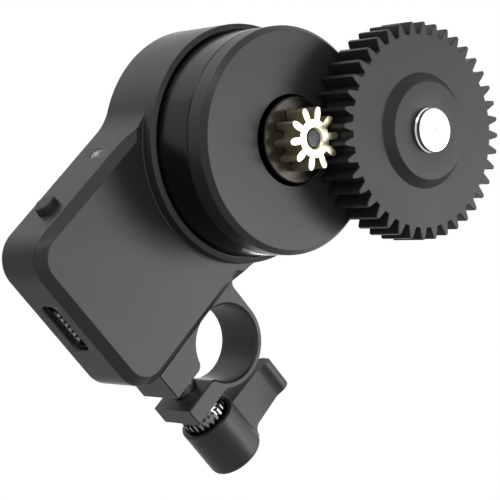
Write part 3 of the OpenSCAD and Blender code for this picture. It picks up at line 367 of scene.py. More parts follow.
def linear(hexColour):
    parts = [int(hexColour[i:i + 2], 16) / 255 for i in (1, 3, 5)]
    return tuple(c / 12.92 if c <= 0.04045 else ((c + 0.055) / 1.055) ** 2.4
                 for c in parts) + (1.0,)


def finish(name, dark, light, smooth, rough, metallic, grain, relief, patch,
           lines=None, **extra):
    # A slow noise, its patches of patch mm, mixes two colours and two roughnesses. A fine
    # noise of grain mm raises the surface by relief mm. lines: spacing in mm, centre and
    # depth in mm of the marks that turning leaves
    material = bpy.data.materials.new(name)
    tree = emptyTree(material)
    place = addNode(tree, "ShaderNodeTexCoord").outputs["Object"]

    def noise(size, detail, roughness):
        return addNode(tree, "ShaderNodeTexNoise", {
            "Scale": 1000 / size, "Detail": detail, "Roughness": roughness, "Vector": place})

    def bumped(height, depth, **below):
        return addNode(tree, "ShaderNodeBump", {
            "Strength": 1.0, "Distance": depth / 1000, "Height": height, **below})

    patches = noise(patch, 3.0, 0.55)
    shade = addNode(tree, "ShaderNodeMix", {
        "data_type": "RGBA", 0: patches, 6: linear(dark), 7: linear(light)}).outputs[2]
    sheen = addNode(tree, "ShaderNodeMapRange", {
        "Value": patches, "From Min": 0.3, "From Max": 0.7, "To Min": smooth, "To Max": rough})
    grains = noise(grain, 2.0, 0.5)
    normal = bumped(grains, relief)
    if lines:
        spacing, centre, depth = lines
        about = addNode(tree, "ShaderNodeVectorMath",
                        {"operation": "SUBTRACT", 0: place, 1: centre})
        flat = addNode(tree, "ShaderNodeVectorMath",
                       {"operation": "MULTIPLY", 0: about, 1: (1, 0, 1)})
        away = addNode(tree, "ShaderNodeVectorMath", {"operation": "LENGTH", 0: flat})
        turned = addNode(tree, "ShaderNodeTexNoise", {
            "noise_dimensions": "1D", "Scale": 1000 / spacing, "Detail": 2.0,
            "W": away.outputs["Value"]})
        normal = bumped(turned, depth, Normal=normal)
    shader = addNode(tree, "ShaderNodeBsdfPrincipled", {
        "Metallic": metallic, "Base Color": shade, "Normal": normal,
        "Roughness": mathNode(tree, "MULTIPLY_ADD", grains, 0.08, sheen),
        **{title.replace("_", " "): value for title, value in extra.items()}})
    addNode(tree, "ShaderNodeOutputMaterial", {"Surface": shader})
    return material


def framePoint(u, v):
    return tuple(toFrame @ Vector((u, v, 0)))


# The pair of gears: the lens gear's axle stands at gearTurn degrees from the drum's axis
gearTurn, gearApart = 50.4, 20
gearCentre = (gearApart * cos(radians(gearTurn)), gearApart * sin(radians(gearTurn)))

# Named by the record's slots, with two more for pieces that share a slot. Each row: colours,
# lowest and highest roughness, metallic, grain and its height, patches
finishes = {
    # Aluminium, bead blasted and anodised black-grey: soft sheen without a hard glint
    "dark_anodised": finish("beadBlastedAnodisedAluminium", "#1d1d1e", "#202021", 0.33, 0.355, 0,
                            0.32, 0.006, 9, Specular_IOR_Level=0.315),
    # The same finish on milled teeth, with faint turning rings on the face
    "gear_anodised": finish("anodisedMilledAluminium", "#1b1b1c", "#1e1e1f", 0.335, 0.37, 0,
                            0.3, 0.005, 7, (0.35, framePoint(*gearCentre), 0.002),
                            Specular_IOR_Level=0.25),
    # Aluminium, polished before it was anodised black: mirrors the studio faintly
    "gloss_black": finish("polishedBlackAnodising", "#08080a", "#0c0c0d", 0.14, 0.2, 0,
                          0.6, 0.001, 5, Specular_IOR_Level=0.32),
    # Turned aluminium disc, dark and satin: the pinion shows in it as a blur
    "boss_metal": finish("satinTurnedDarkAluminium", "#302e2b", "#373531", 0.22, 0.28, 1,
                         0.3, 0.001, 5, (0.22, framePoint(0, 0), 0.002)),
    # Nickel silver pinion, hobbed: pale warm metal, near white where it glints
    "pinion_brass": finish("hobbedNickelSilver", "#d3caae", "#e0d9c2", 0.24, 0.32, 1,
                           0.25, 0.002, 2),
    # Sintered bronze bush: matt brown gold with fine pores
    "bearing_bronze": finish("sinteredBronze", "#8a6236", "#a0763f", 0.35, 0.5, 1,
                             0.3, 0.006, 3),
    # Chrome plated and polished axle screw: bright, with soft streaks
    "polished_chrome": finish("polishedChromePlate", "#dfe1e3", "#eceeef", 0.06, 0.14, 1,
                              0.4, 0.0006, 4),
    # The insert's chrome, its colour darkened to mid grey: painted shade and painted dark reflection for the
    # insert down in the knob's mouth. Its glints still come from the lamps
    "insertChromePaintedShade": finish("wornChromePlate", "#77797c", "#8b8d90", 0.08, 0.18, 1,
                           0.4, 0.001, 2),
    # Hardened, ground shaft, its colour darkened well below the ground steel: painted shade for the shaft's end
    # down in the pinion's bore. It keeps a soft grey glint
    "shaftSteelPaintedShade": finish("oiledShaftSteel", "#3a3b3d", "#454648", 0.34, 0.44, 1,
                         0.25, 0.002, 2),
    # Ground bearing steel: even mid grey with a clear glint
    "steel": finish("groundSteel", "#9c9ea1", "#adafb2", 0.22, 0.34, 1, 0.25, 0.002, 3),
    # Hardened steel of the planet stage, oiled: darker and sharper than the bearings
    "gear_steel": finish("hardenedGearSteel", "#7c7f84", "#8f9296", 0.2, 0.32, 1,
                         0.2, 0.003, 2),
    # Black oxide on screws: near black with a dull glint
    "black_steel": finish("blackOxideSteel", "#1c1c1e", "#28282a", 0.32, 0.46, 0.6,
                          0.2, 0.003, 2),
    # Nickel plated motor can: grey, slightly clouded
    "motor_steel": finish("nickelPlatedMotorCan", "#74777c", "#84878c", 0.24, 0.34, 1,
                          0.5, 0.002, 5),
    # Silicon steel sheets of the stator, stacked: dull dark grey
    "stator_steel": finish("siliconSteelSheets", "#4c4f54", "#5c5f64", 0.35, 0.5, 0.9,
                           0.3, 0.004, 2),
    # Enamelled copper wire: red brown, with the relief of its turns
    "copper_wire": finish("enamelledCopperWire", "#8f4316", "#b85f27", 0.22, 0.36, 0.9,
                          0.35, 0.03, 1.5),
    # Nickel plated magnet ring: dark and cool
    "magnet": finish("nickelPlatedMagnet", "#3f4247", "#54575c", 0.25, 0.4, 1, 0.4, 0.002, 3),
    # Gold flash on contacts and slip rings: pale and soft
    "gold_contact": finish("goldPlatedContacts", "#dbd3b6", "#e9e4d2", 0.3, 0.42, 0.8,
                           0.2, 0.001, 1.5),
    # Green solder mask over fibreglass, with the copper's relief under it
    "board_green": finish("solderMaskBoard", "#0f3b24", "#1c5837", 0.28, 0.4, 0,
                          0.9, 0.02, 1.6),
    # Moulded black plastic of plugs and chips: matt, fine grained
    "black_plastic": finish("mouldedBlackNylon", "#151516", "#1d1d1f", 0.4, 0.55, 0,
                            0.2, 0.006, 2),
    # The button's cap: black polycarbonate, spark eroded grain
    "button_plastic": finish("grainedBlackPolycarbonate", "#1d1d1e", "#242425", 0.38, 0.5, 0,
                             0.22, 0.006, 2, Specular_IOR_Level=0.25),
    # Slippery washer: off-white, waxy
    "pale_plastic": finish("whiteAcetal", "#cfc9b8", "#ddd8c9", 0.4, 0.5, 0, 0.3, 0.004, 3),
    # Clear polycarbonate, frosted: a small milky eye
    "light_plastic": finish("frostedPolycarbonate", "#a9acb0", "#bcbfc3", 0.3, 0.4, 0,
                            0.2, 0.003, 1.5, Transmission_Weight=0.35),
    # Ceramic bodies of the small board parts: speckled tan
    "part_ceramic": finish("partCeramic", "#7a6548", "#9a8058", 0.4, 0.6, 0, 0.2, 0.01, 0.8),
    # Aluminised pouch of the cell: silvery, slightly wrinkled
    "cell_pouch": finish("aluminisedCellPouch", "#a5a9ae", "#bfc3c8", 0.25, 0.45, 0.8,
                         1.2, 0.06, 2.5),
    # Polyimide ribbon: glossy amber film
    "film_amber": finish("polyimideFilm", "#8a4310", "#b56520", 0.25, 0.35, 0,
                         0.5, 0.005, 1.5, Coat_Weight=0.3),
}
slotOfNode = {part["node"]: part["material_slot"] for part in frame["record"]["subparts"]}
for nodeName, node in frame["nodes"].items():
    node.data.materials.clear()
    node.data.materials.append(finishes[slotOfNode[nodeName]])
print("finishes made:", len(finishes))

case = {
    "halfWidth": 15.0, "boxDrop": 40.2, "corner": 5.0, "depth": 9.9, "chamfer": 1.4,
    "wall": 1.8, "drumRadius": 18.5, "drumDepth": 12.2, "neckRadius": 8.0,
    "flareRadius": 0.2, "flareTop": 10.09, "flareRows": 12,
    "rim": 0.1, "rimFall": 0.38, "mouthRadius": 17.6, "mouthDepth": 1.2, "boreRadius": 17.35,
    "lipRadius": 14.5, "lipBack": 3.5, "lipFront": 4.7, "roomRadius": 16.8,
    "coverDepth": 1.2, "coverRim": 1.3, "roomOverlap": 0.4, "fadeFrom": -16.1, "fadeTo": -12.3,
    "edge": 0.16, "backEdge": 0.22, "recessEdge": 0.1, "doubles": 2e-3,
    "drumSteps": 104, "neckSteps": 16, "cornerSteps": 14, "sideSteps": 48, "endSteps": 20,
    "reachScan": 200, "reachHalvings": 30,
}
neckX = case["halfWidth"] + case["neckRadius"]
neckY = -sqrt((case["drumRadius"] + case["neckRadius"]) ** 2 - neckX ** 2)
neckTurn = degrees(atan2(neckY, neckX))
flareRun = sqrt(case["flareRadius"] ** 2
                - (case["depth"] + case["flareRadius"] - case["flareTop"]) ** 2)


def caseOutline(inset=0.0):
    # Points with their inward directions, anticlockwise from the right neck
    w, r, drop = case["halfWidth"], case["corner"], case["boxDrop"]
    low = r - drop
    drum = case["drumRadius"] - inset
    neck = case["neckRadius"] + inset
    points, half = [], []
    for k in range(case["drumSteps"] + 1):
        a = radians(neckTurn + (180 - 2 * neckTurn) * k / case["drumSteps"])
        points.append((drum * cos(a), drum * sin(a), -cos(a), -sin(a), "drum"))
    for k in range(1, case["neckSteps"] + 1):
        a = radians(-neckTurn * (1 - k / case["neckSteps"]))
        half.append((-neckX + neck * cos(a), neckY + neck * sin(a), cos(a), sin(a), "neck"))
    for k in range(1, case["sideSteps"]):
        half.append((-w + inset, neckY + (low - neckY) * k / case["sideSteps"], 1, 0, "side"))
    for k in range(case["cornerSteps"] + 1):
        a = radians(180 + 90 * k / case["cornerSteps"])
        half.append((-w + r + (r - inset) * cos(a), low + (r - inset) * sin(a),
                     -cos(a), -sin(a), "side"))
    for k in range(1, case["endSteps"] // 2 + 1):
        half.append(((-w + r) * (1 - 2 * k / case["endSteps"]), -drop + inset, 0, 1, "side"))
    return points + half + [(-x, y, -nx, ny, kind) for x, y, nx, ny, kind in half[-2::-1]]


def flareHeight(r):
    # How high the box's front stands at a distance from the drum's axis
    across = case["drumRadius"] + flareRun - r
    if across <= 0:
        return case["depth"]
    return (case["depth"] + case["flareRadius"]
            - sqrt(case["flareRadius"] ** 2 - min(across, flareRun) ** 2))


def chamferInset(x, y):
    # How far a point of the box's front lies in from the outline
    x = abs(x)
    low, r = case["corner"] - case["boxDrop"], case["corner"]
    if y > neckY:
        return hypot(neckX - x, y - neckY) - case["neckRadius"]
    if y > low:
        return case["halfWidth"] - x
    if x > case["halfWidth"] - r:
        return r - hypot(x - case["halfWidth"] + r, y - low)
    return y + case["boxDrop"]


def wallTop(x, y, kind):
    # The wall ends below the chamfer; towards the neck it climbs until the chamfer is gone
    low = case["depth"] - case["chamfer"]
    if kind == "drum":
        return case["flareTop"]
    share = min(1.0, max(0.0, (y - case["fadeFrom"]) / (case["fadeTo"] - case["fadeFrom"])))
    return low + (flareHeight(hypot(x, y)) - low) * share * share * (3 - 2 * share)


def onChamfer(x, y, kind, t):
    # The point t mm from the outline towards the drum's axis, on the chamfer
    share = 1 - t / hypot(x, y)
    rise = max(0.0, chamferInset(x * share, y * share)) if t > 0 else 0
    return (x * share, y * share, wallTop(x, y, kind) + rise)


def onFront(x, y, t):
    share = 1 - t / hypot(x, y)
    return (x * share, y * share, flareHeight(hypot(x, y) - t))


def chamferReach(x, y, kind):
    # How far the 45 degree chamfer runs in before it meets the flat, the flare or the drum
    def isPast(t):
        return onChamfer(x, y, kind, t)[2] >= onFront(x, y, t)[2]

    whole = hypot(x, y) - case["drumRadius"]
    isGone = wallTop(x, y, kind) > flareHeight(hypot(x, y)) - tiny
    if kind == "drum" or whole < 1e-4 or isGone:
        return 0.0
    count = case["reachScan"]
    first = next((k for k in range(1, count + 1) if isPast(whole * k / count)), None)
    if first is None:
        return whole
    near, far = whole * (first - 1) / count, whole * first / count
    for _ in range(case["reachHalvings"]):
        middle = (near + far) / 2
        near, far = (near, middle) if isPast(middle) else (middle, far)
    return far


def housingPiece():
    outline = caseOutline()
    drumRadius, edge, back, recess = (case[key] for key in (
        "drumRadius", "edge", "backEdge", "recessEdge"))
    inner = [(x + nx * case["coverRim"], y + ny * case["coverRim"])
             for x, y, nx, ny, kind in outline]
    # The recess for the back cover, the broken back edge and the wall
    rows = [raised(inner, case["coverDepth"]), raised(inner, recess),
            [(x - p[2] * recess, y - p[3] * recess, 0) for (x, y), p in zip(inner, outline)]]
    rows += [[bend((x + nx * back, y + ny * back, 0), (x, y, 0), (x, y, back), t)
              for x, y, nx, ny, kind in outline] for t in bendSteps]
    # Wall into chamfer, then chamfer into flat or flare
    wallRows, frontRows = [], []
    for x, y, nx, ny, kind in outline:
        reach, start = chamferReach(x, y, kind), wallTop(x, y, kind)
        s = min(edge, 0.3 * reach)
        wallRows.append([bend((x, y, start - s), (x, y, start), onChamfer(x, y, kind, s), t)
                         if s else (x, y, start) for t in bendSteps])
        s = min(s, 0.5 * (hypot(x, y) - drumRadius - reach))
        here = onChamfer(x, y, kind, reach)
        frontRows.append([bend(onChamfer(x, y, kind, reach - s), here,
                               onFront(x, y, reach + s), t)
                          if s > tiny else here for t in bendSteps])
    rows += [list(row) for row in zip(*wallRows)] + [list(row) for row in zip(*frontRows)]
    # Down the flare's curve to the drum
    last, directions = rows[-1], [atan2(y, x) for x, y, *_ in outline]
    steepest = asin(flareRun / case["flareRadius"])
    for k in range(case["flareRows"] + 1):
        r = (drumRadius + flareRun
             - case["flareRadius"] * sin(steepest * k / case["flareRows"]))
        rows.append([(r * cos(turn), r * sin(turn), flareHeight(r))
                     if hypot(p[0], p[1]) > r + tiny else p for p, turn in zip(last, directions)])
    # The drum's wall, its rim and its bore
    front, shelf = case["drumDepth"], case["drumDepth"] - case["mouthDepth"]
    bore = softCorners([(case[r], h, size) for r, h, size in (
        ("drumRadius", case["flareTop"] + 0.01, 0),
        ("drumRadius", front - case["rimFall"], case["rim"]),
        ("mouthRadius", front, 0.12), ("mouthRadius", shelf, 0.1),
        ("boreRadius", shelf, 0.1), ("boreRadius", case["lipFront"], 0.1),
        ("lipRadius", case["lipFront"], 0.1), ("lipRadius", case["lipBack"], 0.1),
        ("roomRadius", case["lipBack"], 0.1), ("roomRadius", case["coverDepth"], 0))], steps=4)
    rows += [circle(r, h, directions) for r, h in bore]
    return loftPiece("caseShell", rows, ring=True, merge=case["doubles"])


posts = [(-9.5, -35.6), (9.5, -35.6), (-10.8, -21.9), (10.8, -21.9)]
# Profiles of (radius, height) from the case's back: a post with its thread, the cover's
# countersunk hole under it, and the pads on the cover that hold the board
postProfile = [(0, 6.2), (1.05, 6.2), (1.05, 1.2), (1.6, 1.2), (1.6, 2.7), (2.2, 2.7), (2.2, 8.6),
               (0, 8.6)]
sinkProfile = [(0, -0.5), (2.5, -0.5), (1.15, 0.81), (1.15, 2), (0, 2)]
padProfile = [(0, 1.0), (1.2, 1.0), (1.2, 1.83), (0, 1.83)]
postPlaces = [shiftedTo(u, v) for u, v in posts]


def cavityPiece():
    # What is milled out of the box, with the four screw posts left standing
    inset, drop = case["halfWidth"] - case["wall"], case["boxDrop"] - case["wall"]
    corner = case["corner"] - case["wall"]
    side = degrees(acos(inset / case["drumRadius"]))
    outline = (arcPoints(-inset + corner, -drop + corner, corner, 180, 270, 10)
               + arcPoints(inset - corner, -drop + corner, corner, 270, 360, 10)
               + arcPoints(0, 0, case["drumRadius"], -side, side - 180, 40))
    room = prismPiece("room", outline, case["coverDepth"] - case["roomOverlap"],
                      case["depth"] - case["wall"])
    return carved(room, turnedAt("stands", postProfile, 32, postPlaces))


def flaredHole(name, r, flare, place):
    # A cutter with a rounded mouth at height zero, which runs up through the case's wall
    mouth, front, depth = r + flare + 0.02, -0.6, 3.2
    return lathePiece(name, [
        (0, front), (mouth, front), (mouth, -0.02), (r + flare * 0.45, flare * 0.12),
        (r + flare * 0.12, flare * 0.45), (r, flare), (r, depth), (0, depth)], 48, place)


def cylinder(r, low, high):
    # The profile of a plain round cutter
    return [(0, low), (r, low), (r, high), (0, high)]


# What opens through the case: the port in its lower end, button and light pipe in its left
# side, the clamp's screws in its right, the stop pin's seat and the ribbon's pass
ports = {
    "portAt": (-0.3, 4.4), "portSize": (9.3, 3.7, 1.2),
    "portRows": ((-41.0, 0.2), (-40.22, 0.2), (-40.17, 0.09), (-40.08, 0.02), (-39.95, 0),
                 (-37.9, 0)),
    "button": (-29.65, 4.2), "buttonHole": (1.8, 0.12), "pipe": (-17.9, 4.5),
    "pipeHole": (1.05, 0.08), "mounts": ((-17.2, 4.6), (-27.8, 4.6), (-33.6, 6.2)),
    "mountsFrom": 12.6, "mountHole": cylinder(1.15, 0, 3), "stopAt": gearTurn + 180,
    "stopRing": 16.0, "stopHole": cylinder(0.8, 3, 5.2),
    "ribbon": [(-2.28, -19), (2.28, -19), (2.28, -16.3), (-2.28, -16.3)],
    "ribbonHeights": (1.18, 1.68),
}


def portRow(width, height, corner, v, grow=0.0):
    # A rounded rectangle round the port's axis, at a height of the model
    u, w = ports["portAt"]
    return [(u + x, v, w + y) for x, y in roundRect(width, height, corner, grow)]


housing = carved(housingPiece(), cavityPiece())
housing = carved(housing, joined("caseCuts", [
    loftPiece("portCut", [portRow(*ports["portSize"], v, grow) for v, grow in ports["portRows"]],
              caps=True),
    *(flaredHole(f"{name}Cut", *ports[f"{name}Hole"], alongU(-case["halfWidth"], *ports[name]))
      for name in ("button", "pipe")),
    turnedAt("mountCuts", ports["mountHole"], 32,
             [alongU(ports["mountsFrom"], v, w) for v, w in ports["mounts"]]),
    turnedAt("pinCut", ports["stopHole"], 32, aroundAxis(ports["stopRing"], 1, ports["stopAt"])),
    prismPiece("ribbonCut", ports["ribbon"], *ports["ribbonHeights"])]))
finished(housing, "case", "housing", "dark_anodised")
print("case shell done:", len(housing.data.polygons), "faces")

# A plate let into the case's back, with countersunk holes and two pads
cover = {"gap": 0.08, "edge": 0.14, "thick": 1.2, "padsAt": ((-4.5, -28), (4.5, -28)),
         "screwHead": [(1.9, 0.0), (1.95, 0.04), (1.0, 0.9)], "shank": 1.0, "screwEnd": 5.0}
plate, plateInset = ([(x, y) for x, y, *_ in caseOutline(case["coverRim"] + more)]
                     for more in (cover["gap"], cover["gap"] + cover["edge"]))
backCover = loftPiece("backCover", [raised(plateInset, 0), raised(plate, cover["edge"]),
                                    raised(plate, cover["thick"])], caps=True)
backCover = carved(backCover, turnedAt("coverPads", padProfile, 32, [
    shiftedTo(u, v) for u, v in cover["padsAt"]]), "UNION")
backCover = carved(backCover, turnedAt("coverHoles", sinkProfile, 48, postPlaces))
finished(backCover, "case", "back_cover", "dark_anodised")


def socketScrew(name, rows, shank, end, socket=0.7, place=None):
    # A screw with a hexagon socket, its head's top at height zero. rows: the head's outline
    # from the socket's edge outwards and down to the shank
    angles, deep, broken, point = fullTurn(48), 0.5, 0.06, 0.2

    def hexRow(size, h):
        return polarRow([(size * socket * cos(pi / 6) / cos(a % (pi / 3) - pi / 6), a)
                         for a in angles], h)

    layers = [circle(0, deep * 1.15, angles), hexRow(1, deep), hexRow(1, broken), hexRow(1.08, 0)]
    layers += [circle(r, h, angles) for r, h in (
        *rows, (shank, end - point), (shank - point, end), (0, end))]
    return loftPiece(name, layers, place)


coverScrews = socketScrew("coverScrews", cover["screwHead"], cover["shank"], cover["screwEnd"])
copied(coverScrews, raised(posts, 0), "black_steel")
finished(coverScrews, "case", "back_cover_screws", "black_steel")
print("back cover and screws done")

# Profiles of (radius, height, edge size) from the outer end inwards
button = {"proud": 1.2, "profile": [(0, -0.04, 0), (1.75, 0.0, 0.32), (1.75, 3.05, 0.05),
                                    (2.3, 3.05, 0.08), (2.3, 3.45, 0.08), (0, 3.45, 0)]}
buttonCap = lathePiece("buttonCap", softCorners(button["profile"], steps=5), 96,
                       alongU(-case["halfWidth"] - button["proud"], *ports["button"]))
finished(buttonCap, "button", "power_button", "button_plastic")

pipe = {"inset": 0.1, "profile": [
    (0, -0.06, 0), (0.4, -0.02, 0.2), (0.56, 0.12, 0.1), (0.6, 0.3, 0.03), (0.74, 0.3, 0.03),
    (0.8, 0.04, 0.04), (0.92, 0.0, 0.04), (1.0, 0.1, 0.03), (1.0, 1.72, 0.03),
    (1.4, 1.72, 0.05), (1.4, 1.97, 0.05), (0, 1.97, 0)]}
pipeBody = lathePiece("lightPipe", softCorners(pipe["profile"]), 64,
                      alongU(-case["halfWidth"] + pipe["inset"], *ports["pipe"]))
finished(pipeBody, "case", "light_pipe", "light_plastic")

socket = {
    "size": (8.94, 3.26, 1.4), "wall": 0.3, "front": -39.7, "length": 7.0, "endWall": 0.3,
    "tongue": (6.6, 0.7, 0.2), "tongueLength": 6.9, "contacts": 6, "pitch": 1.0,
    "firstAt": -2.5, "contactHalf": (0.28, 0.09), "contactAt": 0.4, "contactLength": 4.2,
    "farContactBack": 0.5,
}
mouth, wall = socket["front"], socket["wall"]
depth = socket["length"] - socket["endWall"]
shellRows = [portRow(*socket["size"], mouth + v, grow) for v, grow in (
    (socket["length"], -0.1), (socket["length"] - 0.1, 0), (0.1, 0), (0, -0.1),
    (0, 0.06 - wall), (0.08, -wall), (depth, -wall))]
ends = [[(ports["portAt"][0], mouth + v, ports["portAt"][1])] * len(shellRows[0])
        for v in (socket["length"], depth)]
shell = loftPiece("socketShell", [ends[0], *shellRows, ends[1]])
finished(shell, "case", "usb_socket", "black_steel")

tongueFront = mouth + depth - socket["tongueLength"]
tongue = loftPiece("socketTongue", [portRow(*socket["tongue"], v, grow) for v, grow in (
    (tongueFront, -0.12), (tongueFront + 0.15, 0), (mouth + depth, 0))], caps=True)
finished(tongue, "case", "usb_tongue", "black_plastic")


def contactRow(side, start):
    # One side's contacts, broken at their front edge
    halfWide, halfThick = socket["contactHalf"]
    u, w = ports["portAt"][0] + socket["firstAt"], ports["portAt"][1] + side * socket["contactAt"]
    rows = []
    for v, g in ((start, 0.08), (start + 0.08, 0), (tongueFront + socket["contactLength"], 0)):
        x, y = halfWide - g, halfThick - g / 2
        rows.append([(u - x, v, w - y), (u + x, v, w - y), (u + x, v, w + y), (u - x, v, w + y)])
    places = [(socket["pitch"] * k, 0, 0) for k in range(socket["contacts"])]
    return copied(loftPiece(f"contacts{side}", rows, caps=True), places, "gold_contact")


contacts = joined("socketContacts", [contactRow(-1, tongueFront + socket["farContactBack"]),
                                     contactRow(1, tongueFront)])
finished(contacts, "case", "usb_contacts", "gold_contact", weighted=False)
print("controls and socket done")

# From here on a profile has (radius, height, edge size) and a hole (radius, height)
barrel = {
    "profile": [(0, 4.8, 0), (10.99, 4.8, 0.05), (10.99, 3.2, 0.1), (14.45, 3.2, 0.1),
                (14.45, 4.8, 0.05), (17.3, 4.8, 0.15), (17.3, 18.87, 0.22), (15.9, 18.87, 0.1),
                (15.9, 12.6, 0.05), (14.9, 12.6, 0.1), (14.9, 6.6, 0.1), (0, 6.6, 0)],
    "ringHole": cylinder(1.05, 2.7, 4.5), "ringHolesAt": 12.725,
    "motorHole": [(0, 4.3), (1.75, 4.3), (1.75, 5.5), (1.15, 5.5), (1.15, 7.1), (0, 7.1)],
    "motorHolesAt": 9.0, "groove": (15.1, 16.9), "grooveHeights": (4.3, 5.8),
    "swivel": 150, "pinRoom": 0.9, "spareTurn": 2,
}
# The stop pin's groove covers the swivel both ways, half the pin and a little more
span = (barrel["swivel"] + degrees(asin(barrel["pinRoom"] / ports["stopRing"]))
        + barrel["spareTurn"])
first, last = ports["stopAt"] - span, ports["stopAt"] + span
groove = (arcPoints(0, 0, barrel["groove"][1], first, last, 120)
          + arcPoints(0, 0, barrel["groove"][0], last, first, 120))
barrelPiece = carved(
    lathePiece("gearHeadBarrel", softCorners(barrel["profile"]), 160),
    joined("barrelCuts", [
        turnedAt("ringHoles", barrel["ringHole"], 24, aroundAxis(barrel["ringHolesAt"], 4)),
        turnedAt("motorHoles", barrel["motorHole"], 32, aroundAxis(barrel["motorHolesAt"], 3)),
        prismPiece("stopGroove", groove, *barrel["grooveHeights"])]))
finished(barrelPiece, "swivel_head", "head_barrel", "gloss_black")

cap = {"seam": 19.0, "top": 22.78, "radius": 17.3, "bevelIn": 0.72, "bevelDown": 0.9,
       "skirt": (14.2, 15.85), "skirtBack": 16.25,
       "lugRadius": 6.3, "lugFrom": 8, "lugEdge": 0.25, "lugEdgeHeight": 0.2,
       "bossHole": 6.88, "axleHole": 1.52, "threadHole": cylinder(0.82, 19.5, 21.6),
       "passHole": cylinder(0.85, 18.4, 20.4), "screwsAt": 7.75}
seam, capTop = cap["seam"], cap["top"]
(skirtIn, skirtOut), skirtBack = cap["skirt"], cap["skirtBack"]
frontCap = lathePiece("frontCap", softCorners([
    (0, seam, 0), (skirtIn, seam, 0.1), (skirtIn, skirtBack, 0.1), (skirtOut, skirtBack, 0.1),
    (skirtOut, seam, 0.05), (cap["radius"], seam, 0.15),
    (cap["radius"], capTop - cap["bevelDown"], 0.22),
    (cap["radius"] - cap["bevelIn"], capTop, 0.16), (0, capTop, 0)], steps=4), 160)
lugOuter, lugInner = ([(cap["lugFrom"], -r)] + arcPoints(gearApart, 0, r, -90, 90, 48)
                      + [(cap["lugFrom"], r)]
                      for r in (cap["lugRadius"], cap["lugRadius"] - cap["lugEdge"]))
frontCap = carved(frontCap, loftPiece("lug", [
    raised(lugInner, seam), raised(lugOuter, seam + cap["lugEdgeHeight"]),
    raised(lugOuter, capTop - cap["lugEdgeHeight"]), raised(lugInner, capTop)],
    Matrix.Rotation(radians(gearTurn), 4, "Z"), caps=True), "UNION")
hole = cap["bossHole"]
frontCap = carved(frontCap, joined("capCuts", [
    lathePiece("bossHole", [
        (0, 18.5), (9.1, 18.5), (9.1, 19.9), (hole, 19.9), (hole, capTop - 0.16),
        (hole + 0.05, capTop - 0.05), (hole + 0.16, capTop + 0.01), (hole + 0.16, capTop + 0.5),
        (0, capTop + 0.5)], 96),
    lathePiece("axleHole", cylinder(cap["axleHole"], 18.5, capTop + 0.5), 32,
               shiftedTo(*gearCentre))]))
bossScrews = aroundAxis(cap["screwsAt"], 3, gearTurn)
frontCap = carved(frontCap, turnedAt("bossThreads", cap["threadHole"], 24, bossScrews))
finished(frontCap, "swivel_head", "front_cap", "dark_anodised")

boss = {"profile": [(2.3, 21.97, 0.03), (4.01, 21.97, 0.03), (4.01, 18.9, 0.1),
                    (9.0, 18.9, 0.1), (9.0, 19.9, 0.1), (6.5, 19.9, 0.05), (6.5, 23.78, 0.3),
                    (2.3, 23.78, 0.12)]}
bossPiece = lathePiece("bearingBoss", softCorners(boss["profile"], 4, True), ring=True)
bossPiece = carved(bossPiece, turnedAt("bossPasses", cap["passHole"], 24, bossScrews))
finished(bossPiece, "swivel_head", "bearing_boss", "boss_metal")
print("head done")


def toothRow(flank, half, between):
    # (radius, angle) points from the middle of one gap to the middle of the next. flank:
    # radius and half thickness of the tooth, from its root to its tip
    root, share = flank[0][0], flank[0][1] / flank[0][0]
    steps = [(half - share) * k / (between + 1) for k in range(1, between + 1)]
    return ([(root, -half)] + [(root, -half + step) for step in steps]
            + [(r, -s / r) for r, s in flank] + [(r, s / r) for r, s in reversed(flank)]
            + [(root, share + step) for step in steps] + [(root, half)])


def movedIn(before, here, after, size, least):
    # A corner moved to the left of its outline, so that both sides move by size. least
    # holds back the tip of a sharp corner
    one, two = (Vector((-step.y, step.x)).normalized() for step in (here - before, after - here))
    inward = (one + two).normalized()
    return here + inward * size / max(least, inward.dot(one))


def pulledIn(row, amount, half):
    # The outline moved inwards by amount, for the broken edge of the teeth
    flat = [Vector((r * cos(a), r * sin(a))) for r, a in row]
    before = [Matrix.Rotation(-2 * half, 2) @ flat[-2], *flat[:-1]]
    after = [*flat[1:], Matrix.Rotation(2 * half, 2) @ flat[1]]
    moved = [movedIn(*corner, amount, 0.4) for corner in zip(before, flat, after)]
    return [(point.length, atan2(point.y, point.x)) for point in moved]


def toothedRing(name, teeth, row, angles, below, low, high, above, edge, phase, place, coat):
    # below and above: (radius, height) profiles under and over the teeth, on the given
    # angles; the sector closes on itself and is repeated round its axis
    cut = pulledIn(row, edge, pi / teeth)
    rows = [circle(r, h, angles) for r, h in below]
    rows += [polarRow(points, h) for points, h in (
        (cut, low), (row, low + edge), (row, high - edge), (cut, high))]
    rows += [circle(r, h, angles) for r, h in above]
    sector = loftPiece(name, rows, loop=False, ring=True)
    grown(sector, "ring", Count=teeth, Start_angle=phase, Merge_distance=finishedDouble,
          Material=finishes[coat])
    with shapeOf(sector.data) as shape:
        bmesh.ops.remove_doubles(shape, verts=shape.verts, dist=finishedDouble)
        shape.transform(place)
        bmesh.ops.recalc_face_normals(shape, faces=shape.faces)
    return sector


# flank: over the pitch circle and half thickness, in modules
module = 0.8
lens = {"teeth": 40, "width": 6.4, "back": 24.24, "root": 14.4, "hubBase": 8.85, "hubTop": 7.6,
        "hubRise": 1.35, "bore": 3.5, "edge": 0.09, "between": 1,
        "flank": [(-1.3125, 0.95), (-0.875, 0.875), (0, 0.65), (0.69, 0.44), (1, 0.3)]}
pinion = {"teeth": 10, "back": 23.84, "length": 3.8, "bore": 1.41, "root": 2.4, "phase": 54,
          "edge": 0.05, "between": 2,
          "flank": [(-1.375, 0.625), (-0.875, 0.7), (-0.125, 0.74), (0.4375, 0.66),
                    (0.8125, 0.48), (1.03, 0.2)]}


